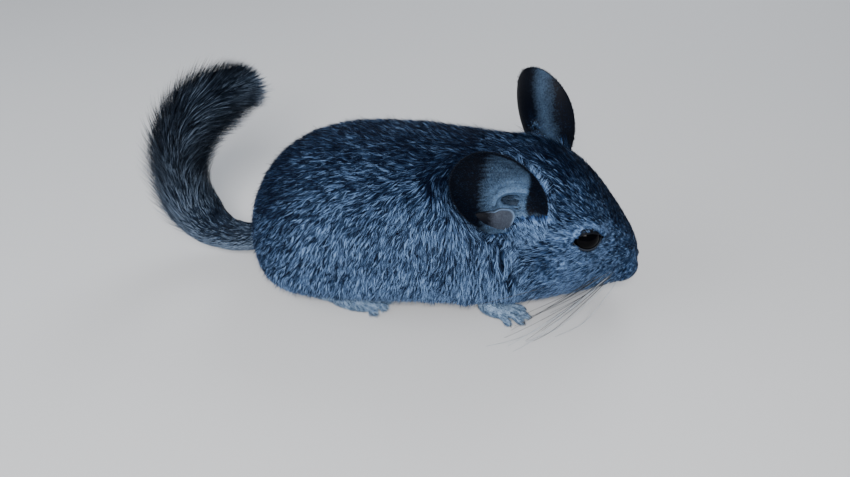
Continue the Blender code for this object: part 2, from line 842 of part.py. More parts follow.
def grown(obj, name, amount):
    """A copy of the object pushed out along its normals."""
    twin = copy_of(obj, name)
    step = twin.modifiers.new("grow", "DISPLACE")
    step.strength = amount * MM
    step.mid_level = 0.0
    return apply_all(twin)


def part_trunk(whole):
    """Divides the trunk into head, neck, torso, thighs and upper arms."""
    nodes = {}
    ahead = slab("ahead", *NECK_FRONT)
    nodes["head"] = cut(copy_of(whole, "head"), ahead, "INTERSECT")
    neck = copy_of(whole, "neck")
    normal = Vector(NECK_FRONT[1]).normalized()
    front_point = Vector(NECK_FRONT[0]) - normal * GAP
    cut(neck, slab("ahead", tuple(front_point), tuple(normal)))
    cut(neck, slab("behind", *NECK_BACK), "INTERSECT")
    nodes["neck"] = neck
    torso = copy_of(whole, "torso")
    normal = Vector(NECK_BACK[1]).normalized()
    cut(torso, slab("ahead", tuple(Vector(NECK_BACK[0]) - normal * GAP), tuple(normal)))
    limbs = (("thigh", THIGH, 1.0), ("upper_arm", UPPER_ARM, 0.0))
    for side, end in ((-1, "_right"), (1, "_left")):
        for name, form, spread in limbs:
            centre, radii, turn = form
            reach = (radii[0] + spread, radii[1] + 12.0, radii[2] + spread)
            inner = ellipsoid("inner", centre, reach, turn, side, 16)
            limb = cut(copy_of(torso, name + end), inner, "INTERSECT")
            outer = [r + GAP for r in reach]
            cut(torso, ellipsoid("outer", centre, outer, turn, side, 16))
            nodes[name + end] = keep_largest(limb)
    nodes["torso"] = keep_largest(torso)
    return nodes


def smooth_shade(obj):
    """Smooth shading, with edges kept where a cut meets the surface."""
    for face in obj.data.polygons:
        face.use_smooth = True
    return obj


def place(nodes):
    """Moves all nodes so that their common box stands on the origin."""
    low = np.full(3, 1e9)
    high = np.full(3, -1e9)
    for obj in nodes.values():
        count = len(obj.data.vertices)
        points = np.empty(count * 3)
        obj.data.vertices.foreach_get("co", points)
        points = points.reshape(-1, 3)
        low = np.minimum(low, points.min(axis=0))
        high = np.maximum(high, points.max(axis=0))
    shift = Vector((-(low[0] + high[0]) / 2, -(low[1] + high[1]) / 2, -low[2]))
    for obj in nodes.values():
        obj.data.transform(Matrix.Translation(shift))


def tidy_node(obj):
    """Welds points that coincide and splits faces into triangles."""
    build = bmesh.new()
    build.from_mesh(obj.data)
    bmesh.ops.remove_doubles(build, verts=build.verts, dist=0.00002)
    bmesh.ops.dissolve_degenerate(build, edges=build.edges, dist=0.00001)
    bmesh.ops.triangulate(build, faces=build.faces)
    build.to_mesh(obj.data)
    build.free()
    return obj


def main():
    """Builds every node and gives each its material."""
    clear_scene()
    coat = material("coat", COAT, 0.9)
    pale = material("pale_coat", PALE, 0.9)
    skin = material("ear_skin", SKIN, 0.6)
    dark_eye = material("eye", (0.005, 0.005, 0.006), 0.08)
    tail_coat = material("tail_coat", (0.13, 0.15, 0.18), 0.9)

    whole = trunk()
    cut(whole, slab("ground", (0, 0, 0), (0, 0, -1)))
    thin_out(whole, 3300)
    nodes = part_trunk(whole)
    head = shape_mouth(open_eyes(nodes["head"]))
    head.name = "head"
    nodes["head"] = head
    for side, end in ((-1, "right"), (1, "left")):
        nodes["eye_" + end] = eye(side)

    finish_nodes(nodes)
    shell = grown(whole, "shell", GAP)
    for side, end in ((-1, "right"), (1, "left")):
        one = ear(side)
        filled = hollow_filled(side, one)
        room = grown(filled, "room", GAP + 0.6)
        drop(filled)
        for near in ("head", "neck", "torso"):
            cut(nodes[near], room, keep_tool=True)
            keep_largest(nodes[near])
        drop(room)
        nodes["ear_" + end] = one
        fore = paw(
            "forepaw_" + end,
            side,
            FOREPAW_PALM,
            FOREPAW_WRIST,
            FORE_TOES,
            [5.0, 4.9, 4.7, 4.5, 4.2],
        )
        hind = paw(
            "hindpaw_" + end,
            side,
            HINDPAW_SOLE,
            HINDPAW_HEEL,
            HIND_TOES,
            [6.0, 5.8, 5.4, 5.0, 4.6],
        )
        for one in (fore, hind):
            cut(one, shell, keep_tool=True)
            nodes[one.name] = keep_largest(one)

    path, tail = tail_whole()
    cut(tail, shell, keep_tool=True, solvers=("MANIFOLD",))
    drop(shell)
    bounds = [None] + [path.length * t for t in TAIL_CUTS] + [None]
    for i, name in enumerate(("tail_root", "tail_middle", "tail_tip")):
        node = copy_of(tail, name)
        if bounds[i] is not None:
            at, way, _, _ = path.frame(bounds[i])
            behind = slab("behind", tuple(at + way * GAP), tuple(-way))
            cut(node, behind, solvers=("MANIFOLD",))
        if bounds[i + 1] is not None:
            at, way, _, _ = path.frame(bounds[i + 1])
            cut(node, slab("ahead", tuple(at), tuple(way)), solvers=("MANIFOLD",))
        nodes[name] = keep_largest(node)
    drop(tail)
    drop(whole)

    for name, obj in nodes.items():
        obj.name = name
        obj.data.name = name
        tidy_node(obj)
        smooth_shade(obj)
        obj.data.materials.clear()
        if name.startswith("eye"):
            obj.data.materials.append(dark_eye)
        elif name.startswith("ear"):
            obj.data.materials.append(skin)
        elif name.startswith("tail"):
            obj.data.materials.append(tail_coat)
        elif "paw" in name:
            obj.data.materials.append(pale)
        else:
            obj.data.materials.append(coat)
    place(nodes)


if __name__ == "__main__":
    main()
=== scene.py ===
"""A life-size chinchilla, crouched with its tail curled up over the rump.

Lengths are millimetres in the animal's own axes: +X to the nose, +Y to its left,
+Z up, floor at Z = 0. Meshes are written in metres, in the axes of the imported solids.
"""

from __future__ import annotations

import logging
import math
from dataclasses import dataclass, field
from enum import Enum

import bpy
import numpy as np
from bpy.types import Material, NodeSocket, Object, ShaderNode, ShaderNodeTree
from mathutils import Matrix, Vector


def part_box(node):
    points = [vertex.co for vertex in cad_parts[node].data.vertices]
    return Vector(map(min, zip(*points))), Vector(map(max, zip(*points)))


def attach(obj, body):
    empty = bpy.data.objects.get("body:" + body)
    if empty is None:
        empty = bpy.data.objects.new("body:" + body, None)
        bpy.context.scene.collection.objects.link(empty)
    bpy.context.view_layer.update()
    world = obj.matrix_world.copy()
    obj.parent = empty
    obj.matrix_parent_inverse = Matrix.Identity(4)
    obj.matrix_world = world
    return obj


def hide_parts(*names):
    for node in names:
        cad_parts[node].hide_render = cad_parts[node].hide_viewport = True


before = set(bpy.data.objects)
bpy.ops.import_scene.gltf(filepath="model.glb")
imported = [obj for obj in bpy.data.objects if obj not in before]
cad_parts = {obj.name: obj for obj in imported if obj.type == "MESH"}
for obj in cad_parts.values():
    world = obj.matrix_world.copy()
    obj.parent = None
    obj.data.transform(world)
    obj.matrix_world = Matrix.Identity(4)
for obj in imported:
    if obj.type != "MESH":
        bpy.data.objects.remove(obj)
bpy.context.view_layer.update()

log = logging.getLogger("chinchilla")

MM = 0.001
BODY = "root"
COAT_LIMIT = 190_000

# Side of a tuft's own patch on the unwrapped skin
PATCH = 0.003

# Cubes along one side of the lattice of a soft noise
LATTICE = 32

# Stations from rump to nose: x, half breadth, top, bottom, height of the widest place
PROFILE = (
    (-101.5, 8.0, 39.0, 20.0, 29.0),
    (-99.0, 18.5, 49.0, 9.0, 29.0),
    (-94.0, 28.5, 60.0, 1.0, 29.0),
    (-85.0, 38.0, 72.0, -2.0, 28.0),
    (-72.0, 44.5, 82.0, -3.0, 30.0),
    (-54.0, 47.0, 89.5, -3.0, 34.0),
    (-32.0, 46.5, 93.5, -3.0, 36.0),
    (-8.0, 44.0, 94.5, -3.0, 37.0),
    (12.0, 41.0, 94.0, -3.0, 36.0),
    (30.0, 37.0, 93.5, -3.0, 34.0),
    (44.0, 34.0, 92.5, -2.0, 33.0),
    (56.0, 31.0, 90.0, 0.0, 34.0),
    (67.0, 28.0, 84.0, 3.0, 35.0),
    (77.0, 24.0, 75.0, 6.0, 33.0),
    (86.0, 19.0, 64.0, 9.0, 30.0),
    (94.0, 14.5, 53.0, 11.5, 27.0),
    (100.5, 11.0, 42.5, 14.0, 25.5),
    (103.8, 7.5, 35.0, 18.5, 26.0),
)
SIDE_FULLNESS = 2.15

# Haunch, shoulder, cheek, brow and lip on the right side: centre, radii, turns
SWELLINGS = (
    ((-50.0, -25.0, 37.0), (34.0, 22.5, 33.0), (0.0, 12.0, 0.0)),
    ((14.0, -20.0, 30.0), (21.0, 20.0, 26.0), (0.0, -20.0, 0.0)),
    ((66.0, -14.0, 34.0), (19.0, 13.5, 19.0), (0.0, 25.0, 0.0)),
    ((74.0, -13.5, 55.0), (14.0, 8.5, 9.0), (0.0, 38.0, 0.0)),
    ((96.5, -6.2, 24.5), (8.6, 7.4, 9.6), (0.0, 30.0, 0.0)),
)
CHIN = ((93.5, 0.0, 14.5), (8.0, 5.0, 4.5), (0.0, 15.0, 0.0))
NOSE = np.array((103.8, 0.0, 29.0))
NOSE_RADII = (2.2, 3.6, 2.9)
EYE = (73.2, -16.8, 51.0)

# Centre line of the tail and the radius of its hair
TAIL = (
    (-96.0, 0.0, 19.0, 7.5),
    (-109.0, 0.5, 15.0, 7.8),
    (-121.0, 1.0, 14.0, 8.6),
    (-132.5, 2.0, 18.2, 11.2),
    (-141.0, 3.0, 30.0, 13.6),
    (-143.0, 4.0, 46.0, 14.2),
    (-142.0, 4.5, 60.0, 14.6),
    (-138.0, 5.0, 74.0, 15.6),
    (-130.0, 5.0, 87.5, 16.2),
    (-118.5, 5.0, 98.5, 16.2),
    (-105.5, 5.0, 106.0, 15.0),
    (-95.5, 5.0, 110.5, 13.5),
)

# Breadth of a toe from its root to its tip
TOE_SWELL = (0.85, 0.9, 0.95, 0.92, 0.86, 0.9, 0.98, 0.9, 0.78, 0.8, 0.92, 0.96, 0.86, 0.6)

# Toes of the right side: root, tip and radius
FORE_TOES = (
    ((37.0, -23.2, 3.2), (48.2, -22.6, 1.9), 1.9),
    ((38.0, -25.6, 3.4), (51.0, -28.0, 1.9), 2.0),
    ((37.5, -28.0, 3.4), (48.0, -32.8, 1.9), 2.0),
    ((34.5, -29.4, 3.2), (41.0, -35.0, 1.9), 1.9),
)
HIND_TOES = (
    ((-35.0, -27.0, 3.8), (-24.2, -26.2, 2.2), 2.4),
    ((-34.0, -30.0, 3.8), (-25.6, -32.0, 2.2), 2.5),
    ((-36.5, -32.8, 3.6), (-30.2, -37.0, 2.2), 2.3),
)

# Folds of the flank: x at z = 30, lean, lowest and highest z, half width, depth
CREASES = (
    (35.5, 0.067, 33.0, 58.0, 1.2, 1.0),
    (31.0, 0.058, 36.0, 56.0, 0.9, 0.85),
    (39.5, 0.078, 20.0, 40.0, 1.0, 0.95),
    (43.5, 0.10, 26.0, 46.0, 0.7, 0.6),
    (27.0, 0.03, 22.0, 42.0, 0.7, 0.45),
    (48.5, 0.15, 12.0, 32.0, 0.7, 0.5),
)

# Rings of the lids: growth of the opening, height over the eyeball, tone
LIDS = (
    *((-0.10, -0.5, 0.05), (-0.10, 0.10, 0.10), (0.05, 0.40, 0.45), (0.30, 0.58, 0.50)),
    *((0.60, 0.62, 0.10), (1.10, 0.52, 0.03), (1.60, 0.56, 0.03), (2.10, 0.72, 0.05)),
    *((2.70, 0.60, 0.05), (3.40, 0.05, 0.08), (4.10, -1.00, 0.10)),
)

# Ridges in the ear's cup: path across and down it, width, height, strength of the painted highlight
# on its crest
RIDGES = (
    (((-1.4, -1.7), (3.3, -3.9), (8.8, -5.3), (14.0, -5.6)), 1.0, 0.5, 0.10),
    (((-0.7, 5.2), (0.5, 2.2), (3.3, 0.4), (7.0, -0.7), (14.0, -0.4)), 1.1, 1.5, 0.42),
)

# Outline of the ear's flap, across and down the cup, and the middle of its right one
FLAP = (
    ((8.2, 9.4), (7.6, 11.8), (6.6, 14.0), (4.8, 15.6)),
    ((1.5, 16.4), (-2.1, 16.0), (-5.8, 14.6), (-11.4, 12.2)),
    ((-12.4, 9.6), (-11.2, 7.6), (-5.8, 6.7), (-2.1, 6.6)),
    ((-0.7, 5.8), (3.3, 5.3), (6.2, 5.8), (7.8, 7.4)),
)
FLAP_MIDDLE = (-0.3, 11.0)

# Cosine and sine of the lean of the ear's trough
TROUGH = (0.84, 0.545)

Colour = tuple[float, float, float]
Pair = tuple[float, float]
Triple = tuple[float, float, float]
Array = np.ndarray


class Side(Enum):
    """A side of the animal, by the sign of its Y."""

    RIGHT = -1
    LEFT = 1

    @property
    def word(self) -> str:
        """The side's name in lower case."""
        return self.name.lower()


def ramp(low: float, high: float, value: Array) -> Array:
    """A smooth rise from 0 at low to 1 at high."""
    t = np.clip((value - low) / (high - low), 0.0, 1.0)
    return t * t * (3.0 - 2.0 * t)


def bell(value: Array, width: float) -> Array:
    """A smooth hump, 1 where the value is 0, that falls off over this width."""
    return np.exp(-((value / width) ** 2))


def blot(u: Array, v: Array, at: Pair, size: Pair) -> Array:
    """A soft round spot, 1 at its middle, from places in two directions."""
    return np.exp(-((u - at[0]) ** 2 / size[0] ** 2 + (v - at[1]) ** 2 / size[1] ** 2))


def round_turn(count: int) -> Array:
    """So many even steps of one whole turn."""
    return np.linspace(0.0, 2 * math.pi, count, endpoint=False)


def spokes(outer: Array, side: Array, angle: Array) -> Array:
    """Directions turned by an angle from outer towards side."""
    return outer * np.cos(angle)[:, None] + side * np.sin(angle)[:, None]


def unit(vectors: Array) -> Array:
    """The vectors scaled to length 1."""
    size = np.linalg.norm(vectors, axis=-1, keepdims=True)
    return vectors / np.maximum(size, 1e-9)


def tangential(vectors: Array, normals: Array) -> Array:
    """The vectors laid into the surface with these normals, at length 1."""
    along = (vectors * normals).sum(axis=1, keepdims=True)
    return unit(vectors - normals * along)


def smooth_rows(rows: object, count: int) -> Array:
    """Rows of numbers resampled along a smooth curve through them.

    Args:
        rows: Points, with any further values in later columns.
        count: How many rows to return.

    Returns:
        The rows, at even distances.
    """
    rows = np.array(rows, float)
    steps = np.linalg.norm(np.diff(rows[:, :3], axis=0), axis=1)
    at = np.concatenate([[0.0], np.cumsum(steps)])
    slope = np.gradient(rows, at, axis=0)
    s = np.linspace(0.0, at[-1], count)
    i = np.clip(np.searchsorted(at, s, side="right") - 1, 0, len(at) - 2)
    h = (at[i + 1] - at[i])[:, None]
    t = (s - at[i])[:, None] / h
    return (
        (2 * t**3 - 3 * t**2 + 1) * rows[i]
        + (t**3 - 2 * t**2 + t) * h * slope[i]
        + (3 * t**2 - 2 * t**3) * rows[i + 1]
        + (t**3 - t**2) * h * slope[i + 1]
    )


class SoftNoise:
    """Smooth seeded noise between -1 and 1, on a lattice of cubes."""

    def __init__(self, seed: int, cell: float) -> None:
        """Draws the lattice; cell is the size of a cube."""
        self.lattice = np.random.default_rng(seed).uniform(-1.0, 1.0, (LATTICE,) * 3)
        self.cell = cell

    def __call__(self, points: Array) -> Array:
        """The noise at each point.

        Args:
            points: The points.

        Returns:
            One value for each point.
        """
        place = points / self.cell
        low = np.floor(place).astype(int)
        part = place - low
        part = part * part * (3.0 - 2.0 * part)
        total = np.zeros(len(points))
        for dx in (0, 1):
            for dy in (0, 1):
                for dz in (0, 1):
                    share = np.ones(len(points))
                    for axis, step in enumerate((dx, dy, dz)):
                        share *= part[:, axis] if step else 1.0 - part[:, axis]
                    at = (low + (dx, dy, dz)) % LATTICE
                    total += share * self.lattice[at[:, 0], at[:, 1], at[:, 2]]
        return total


def shift_to_row() -> Array:
    """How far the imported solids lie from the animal's own axes, in millimetres.

    Returns:
        The shift along X, Y and Z.
    """
    low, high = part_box("eye_right")
    middle = (np.array(low) + np.array(high)) / 2 / MM
    return middle - np.array(EYE)


SHIFT = shift_to_row()


@dataclass
class Patch:
    """Bare geometry in millimetres: points, quads and triangles, with point values."""

    points: Array
    quads: Array = field(default_factory=lambda: np.empty((0, 4), int))
    tris: Array = field(default_factory=lambda: np.empty((0, 3), int))
    values: dict[str, Array] = field(default_factory=dict)
    uv: Array | None = None

    def joined(self, *others: Patch) -> Patch:
        """This patch and others as one.

        Args:
            *others: The patches to add.

        Returns:
            The joined patch.
        """
        parts = (self, *others)
        starts = np.cumsum([0] + [len(p.points) for p in parts[:-1]])
        return Patch(
            np.concatenate([p.points for p in parts]),
            np.concatenate([p.quads + s for p, s in zip(parts, starts)]),
            np.concatenate([p.tris + s for p, s in zip(parts, starts)]),
            {k: np.concatenate([p.values[k] for p in parts]) for k in self.values},
            None if self.uv is None else np.concatenate([p.uv for p in parts]),
        )

    def triangles(self) -> int:
        """How many triangles the patch makes."""
        return 2 * len(self.quads) + len(self.tris)

    def valued(self, **values: object) -> Patch:
        """The patch with these point values; a number alone goes to every point."""
        self.values = {k: np.zeros(len(self.points)) + v for k, v in values.items()}
        return self

    def above(self, low: float) -> Patch:
        """The patch, with its lower points raised to this height."""
        self.points[:, 2] = np.maximum(self.points[:, 2], low)
        return self


def make_mesh(name: str, patch: Patch) -> Object:
    """An object from a patch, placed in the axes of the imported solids.

    Args:
        name: The object's name.
        patch: Its geometry, in millimetres in the animal's axes.

    Returns:
        The new object, smooth shaded, with the patch's values as point attributes.
    """
    mesh = bpy.data.meshes.new(name)
    mesh.vertices.add(len(patch.points))
    placed = (patch.points + SHIFT) * MM
    mesh.vertices.foreach_set("co", placed.astype(np.float32).ravel())
    loops = np.concatenate([patch.quads.ravel(), patch.tris.ravel()])
    mesh.loops.add(len(loops))
    mesh.loops.foreach_set("vertex_index", loops.astype(np.int32))
    count = len(patch.quads) + len(patch.tris)
    mesh.polygons.add(count)
    fours, threes = np.arange(len(patch.quads)) * 4, np.arange(len(patch.tris)) * 3
    starts = np.concatenate([fours, 4 * len(patch.quads) + threes])
    mesh.polygons.foreach_set("loop_start", starts.astype(np.int32))
    mesh.polygons.foreach_set("use_smooth", np.ones(count, bool))
    mesh.update(calc_edges=True)
    for key, data in patch.values.items():
        layer = mesh.attributes.new(key, "FLOAT", "POINT")
        layer.data.foreach_set("value", data.astype(np.float32))
    if patch.uv is not None:
        layer = mesh.uv_layers.new(name="OFBake")
        layer.data.foreach_set("uv", patch.uv[loops].astype(np.float32).ravel())
    obj = bpy.data.objects.new(name, mesh)
    bpy.context.collection.objects.link(obj)
    return obj


def drop(obj: Object) -> None:
    """Removes an object and its mesh.

    Args:
        obj: The object.
    """
    mesh = obj.data
    bpy.data.objects.remove(obj, do_unlink=True)
    bpy.data.meshes.remove(mesh)


def apply_all(obj: Object) -> Object:
    """Replaces the mesh of an object by its modified shape.

    Args:
        obj: The object.

    Returns:
        The same object.
    """
    graph = bpy.context.evaluated_depsgraph_get()
    graph.update()
    shaped = bpy.data.meshes.new_from_object(obj.evaluated_get(graph))
    old = obj.data
    obj.modifiers.clear()
    obj.data = shaped
    bpy.data.meshes.remove(old)
    return obj


def fused(name: str, pieces: list[Patch], voxel: float, rounds: int) -> Patch:
    """Crossing closed forms fused on a grid and smoothed.

    Args:
        name: A name for the work in hand.
        pieces: The closed forms.
        voxel: The size of the grid in millimetres.
        rounds: How many times the result is smoothed.

    Returns:
        The fused form.
    """
    bare = [Patch(p.points, p.quads, p.tris) for p in pieces]
    obj = make_mesh(name, bare[0].joined(*bare[1:]))
    step = obj.modifiers.new("remesh", "REMESH")
    step.mode = "VOXEL"
    step.voxel_size = voxel * MM
    if rounds:
        soft = obj.modifiers.new("soft", "SMOOTH")
        soft.factor = 0.5
        soft.iterations = rounds
    apply_all(obj)
    mesh = obj.data
    points = np.empty(len(mesh.vertices) * 3, np.float32)
    mesh.vertices.foreach_get("co", points)
    quads = np.empty(len(mesh.loops), np.int32)
    mesh.loops.foreach_get("vertex_index", quads)
    made = Patch(points.reshape(-1, 3).astype(float) / MM - SHIFT, quads.reshape(-1, 4).astype(int))
    drop(obj)
    return made


def unwrapped(along: Array, turn: Array) -> Array:
    """Places on an unwrap, from the share along and the half turns round."""
    return np.stack([0.02 + 0.96 * along, 0.5 + 0.48 * turn], axis=1)


def normals_of(patch: Patch) -> Array:
    """Smooth unit normals at the patch's points.

    Args:
        patch: The patch.

    Returns:
        One normal for each point.
    """
    total = np.zeros_like(patch.points)
    groups = [patch.tris, patch.quads[:, [0, 1, 2]], patch.quads[:, [0, 2, 3]]]
    for tris in groups:
        a, b, c = (patch.points[tris[:, i]] for i in range(3))
        face = np.cross(b - a, c - a)
        for i in range(3):
            for axis in range(3):
                total[:, axis] += np.bincount(tris[:, i], face[:, axis], minlength=len(total))
    return unit(total)


def turned(degrees: Triple) -> Array:
    """A rotation matrix from turns about X, Y and Z.

    Args:
        degrees: The three turns.

    Returns:
        A matrix of 3 by 3.
    """
    turn = Matrix.Identity(3)
    for axis, angle in zip("XYZ", degrees):
        turn = Matrix.Rotation(math.radians(angle), 3, axis) @ turn
    return np.array(turn)


def ring_loft(rings: Array, capped: bool = True) -> Patch:
    """A surface through rings of equally many points.

    Args:
        rings: An array of rings by points by 3.
        capped: Whether both ends are closed by a fan.

    Returns:
        The surface.
    """
    count, around = rings.shape[:2]
    points = rings.reshape(-1, 3)
    i, j = np.meshgrid(np.arange(count - 1), np.arange(around), indexing="ij")
    a = i * around + j
    b = i * around + (j + 1) % around
    step = (i + 1) * around
    quads = np.stack([a, b, step + (j + 1) % around, step + j], axis=-1).reshape(-1, 4)
    tris = np.empty((0, 3), int)
    if capped:
        middle = np.stack([rings[0].mean(axis=0), rings[-1].mean(axis=0)])
        first = len(points)
        points = np.concatenate([points, middle])
        k = np.arange(around)
        low = np.stack([np.full(around, first), (k + 1) % around, k], axis=1)
        last = (count - 1) * around
        high = np.stack([np.full(around, first + 1), last + k, last + (k + 1) % around], axis=1)
        tris = np.concatenate([low, high])
    return Patch(points, quads, tris)


def ellipsoid(
    centre: Triple, radii: Triple, degrees: Triple = (0.0, 0.0, 0.0),
    side: Side = Side.RIGHT, fineness: int = 48,
) -> Patch:
    """A closed ellipsoid; the left side mirrors a form given for the right.

    Args:
        centre: Its centre.
        radii: Its radii.
        degrees: Its turns about X, Y and Z.
        side: The side it is for.
        fineness: Points round it.

    Returns:
        The closed form.
    """
    lat = np.linspace(0.03, math.pi - 0.03, fineness // 2)
    lon = round_turn(fineness)
    lat, lon = np.meshgrid(lat, lon, indexing="ij")
    ball = np.stack([np.sin(lat) * np.cos(lon), np.sin(lat) * np.sin(lon), np.cos(lat)], axis=-1)
    points = (ball * radii) @ turned(degrees).T + centre
    if side is Side.LEFT:
        points[..., 1] *= -1.0
        points = points[:, ::-1]
    return ring_loft(points[::-1])


def frames_along(line: Array) -> tuple[Array, Array]:
    """Two normals at each point of a line, without twist.

    Args:
        line: Points along the line.

    Returns:
        The directions across and over it at each point.
    """
    tangents = unit(np.gradient(line, axis=0))
    side = np.cross(tangents[0], (0.0, 0.0, 1.0))
    if np.linalg.norm(side) < 0.1:
        side = np.cross(tangents[0], (0.0, 1.0, 0.0))
    sides = []
    for tangent in tangents:
        side = side - tangent * side.dot(tangent)
        side = side / np.linalg.norm(side)
        sides.append(side)
    across = np.array(sides)
    return across, np.cross(across, tangents)


def tube(line: Array, radii: object, sides: int = 12, flat: float = 1.0) -> Patch:
    """A closed tube along a line; flat scales its second radius.

    Args:
        line: Points along its middle.
        radii: One radius, or one for each point.
        sides: Points round it.
        flat: The share of the radius over the line.

    Returns:
        The closed tube.
    """
    line = np.array(line, float)
    radii = np.broadcast_to(np.array(radii, float), (len(line),))
    across, over = frames_along(line)
    angle = round_turn(sides)
    rings = (
        line[:, None]
        + across[:, None] * (np.cos(angle)[None, :, None] * radii[:, None, None])
        + over[:, None] * (np.sin(angle)[None, :, None] * radii[:, None, None] * flat)
    )
    return ring_loft(rings)


def scatter(
    surface: Patch, normals: Array, weight: Array, count: int, rng: np.random.Generator
) -> tuple[Array, Array]:
    """Seeded random places on a surface.

    Args:
        surface: The surface.
        normals: Its point normals.
        weight: How thickly each of its points is sown.
        count: How many places to draw.
        rng: The random source.

    Returns:
        The places and the normals there.
    """
    tris = np.concatenate([surface.tris, surface.quads[:, [0, 1, 2]], surface.quads[:, [0, 2, 3]]])
    a, b, c = (surface.points[tris[:, i]] for i in range(3))
    area = np.linalg.norm(np.cross(b - a, c - a), axis=1) / 2
    share = area * weight[tris].mean(axis=1)
    chance = np.cumsum(share) / share.sum()
    pick = np.searchsorted(chance, rng.random(count))
    pick = np.minimum(pick, len(tris) - 1)
    u, v = rng.random(count), rng.random(count)
    fold = u + v > 1.0
    u[fold], v[fold] = 1.0 - u[fold], 1.0 - v[fold]
    w = np.stack([1.0 - u - v, u, v], axis=1)[:, :, None]
    chosen = tris[pick]
    places = (surface.points[chosen] * w).sum(axis=1)
    return places, unit((normals[chosen] * w).sum(axis=1))


@dataclass(frozen=True)
class Blades:
    """Thin tapered tufts, each a strip of a few rows, set out all at once."""

    roots: Array
    normals: Array
    lies: Array
    lengths: Array
    widths: Array
    lifts: Array
    rolls: Array
    rows: tuple[float, ...] = (0.0, 0.5, 1.0)
    rise: float = 0.55
    shape: tuple[float, ...] = (0.8, 1.0, 0.0)

    def paths(self) -> Array:
        """The middle line of each tuft, as tufts by rows by 3.

        Returns:
            An array of tufts by rows by 3.
        """
        t = np.array(self.rows)
        lift = 1.0 - (1.0 - t) ** (1.0 / max(self.rise, 0.2))
        return (
            self.roots[:, None]
            + self.lies[:, None] * (self.lengths[:, None] * t[None])[:, :, None]
            + self.normals[:, None] * (self.lifts[:, None] * lift[None])[:, :, None]
        )

    def patch(self, uv: Array, **values: Array) -> Patch:
        """The tufts as geometry.

        Args:
            uv: The place of each root on the unwrapped skin.
            **values: Further values, one for each tuft.

        Returns:
            The geometry, with the values spread over each tuft's points.
        """
        return strips(self.paths(), self.across(), self.widths, self.shape, uv, values)

    def across(self) -> Array:
        """The direction of each tuft's breadth.

        Returns:
            One unit direction for each tuft.
        """
        side = np.cross(self.normals, self.lies)
        c, s = np.cos(self.rolls)[:, None], np.sin(self.rolls)[:, None]
        return unit(side * c + self.normals * s)


def strips(
    paths: Array, across: Array, widths: Array, shape: tuple[float, ...],
    uv: Array, values: dict[str, Array],
) -> Patch:
    """Tapered strips along paths, ending in a point.

    Args:
        paths: Strips by rows by 3.
        across: The direction of breadth, by strip or by strip and row.
        widths: The full breadth of each strip.
        shape: The share of the breadth at each row, 0 at the last.
        uv: The place of each root on the unwrapped skin.
        values: Further values, one for each strip.

    Returns:
        The strips as one patch, with `along` from 0 at the root to 1 at the tip.
    """
    count, rows = paths.shape[:2]
    if across.ndim == 2:
        across = np.repeat(across[:, None], rows, axis=1)
    half = (widths[:, None] * np.array(shape)[None] / 2)[:, :, None]
    left = paths - across * half
    right = paths + across * half
    body = np.stack([left[:, :-1], right[:, :-1]], axis=2).reshape(count, -1, 3)
    points = np.concatenate([body, paths[:, -1:]], axis=1)
    each = points.shape[1]
    start = (np.arange(count) * each)[:, None, None]
    quad = np.array([(2 * i, 2 * i + 1, 2 * i + 3, 2 * i + 2) for i in range(rows - 2)])
    quads = (quad.reshape(1, -1, 4) + start).reshape(-1, 4)
    tip = np.array([(each - 3, each - 2, each - 1)])
    tris = (tip[None] + start).reshape(-1, 3)
    t = np.linspace(0.0, 1.0, rows)
    along = np.concatenate([np.repeat(t[:-1], 2), [1.0]])
    local = np.stack([np.concatenate([np.tile([0.0, 1.0], rows - 1), [0.5]]), along], axis=1)
    spread = {k: np.repeat(v, each) for k, v in values.items()}
    spread["along"] = np.tile(along, count)
    place = uv[:, None] + (local[None] - 0.5) * PATCH
    return Patch(points.reshape(-1, 3), quads, tris, spread, place.reshape(-1, 2))


def add_piece(name: str, patch: Patch, finish: Material, slot: str, *nodes: str) -> None:
    """Makes a piece with its material, its body and the solids it stands for.

    Args:
        name: Its name.
        patch: Its geometry.
        finish: Its material.
        slot: Not used.
        *nodes: The solids it stands for.
    """
    obj = make_mesh(name, patch)
    obj.data.materials.append(finish)
    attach(obj, BODY)
    if nodes:
        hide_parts(*nodes)
    log.info("%s: %d faces", obj.name, len(obj.data.polygons))


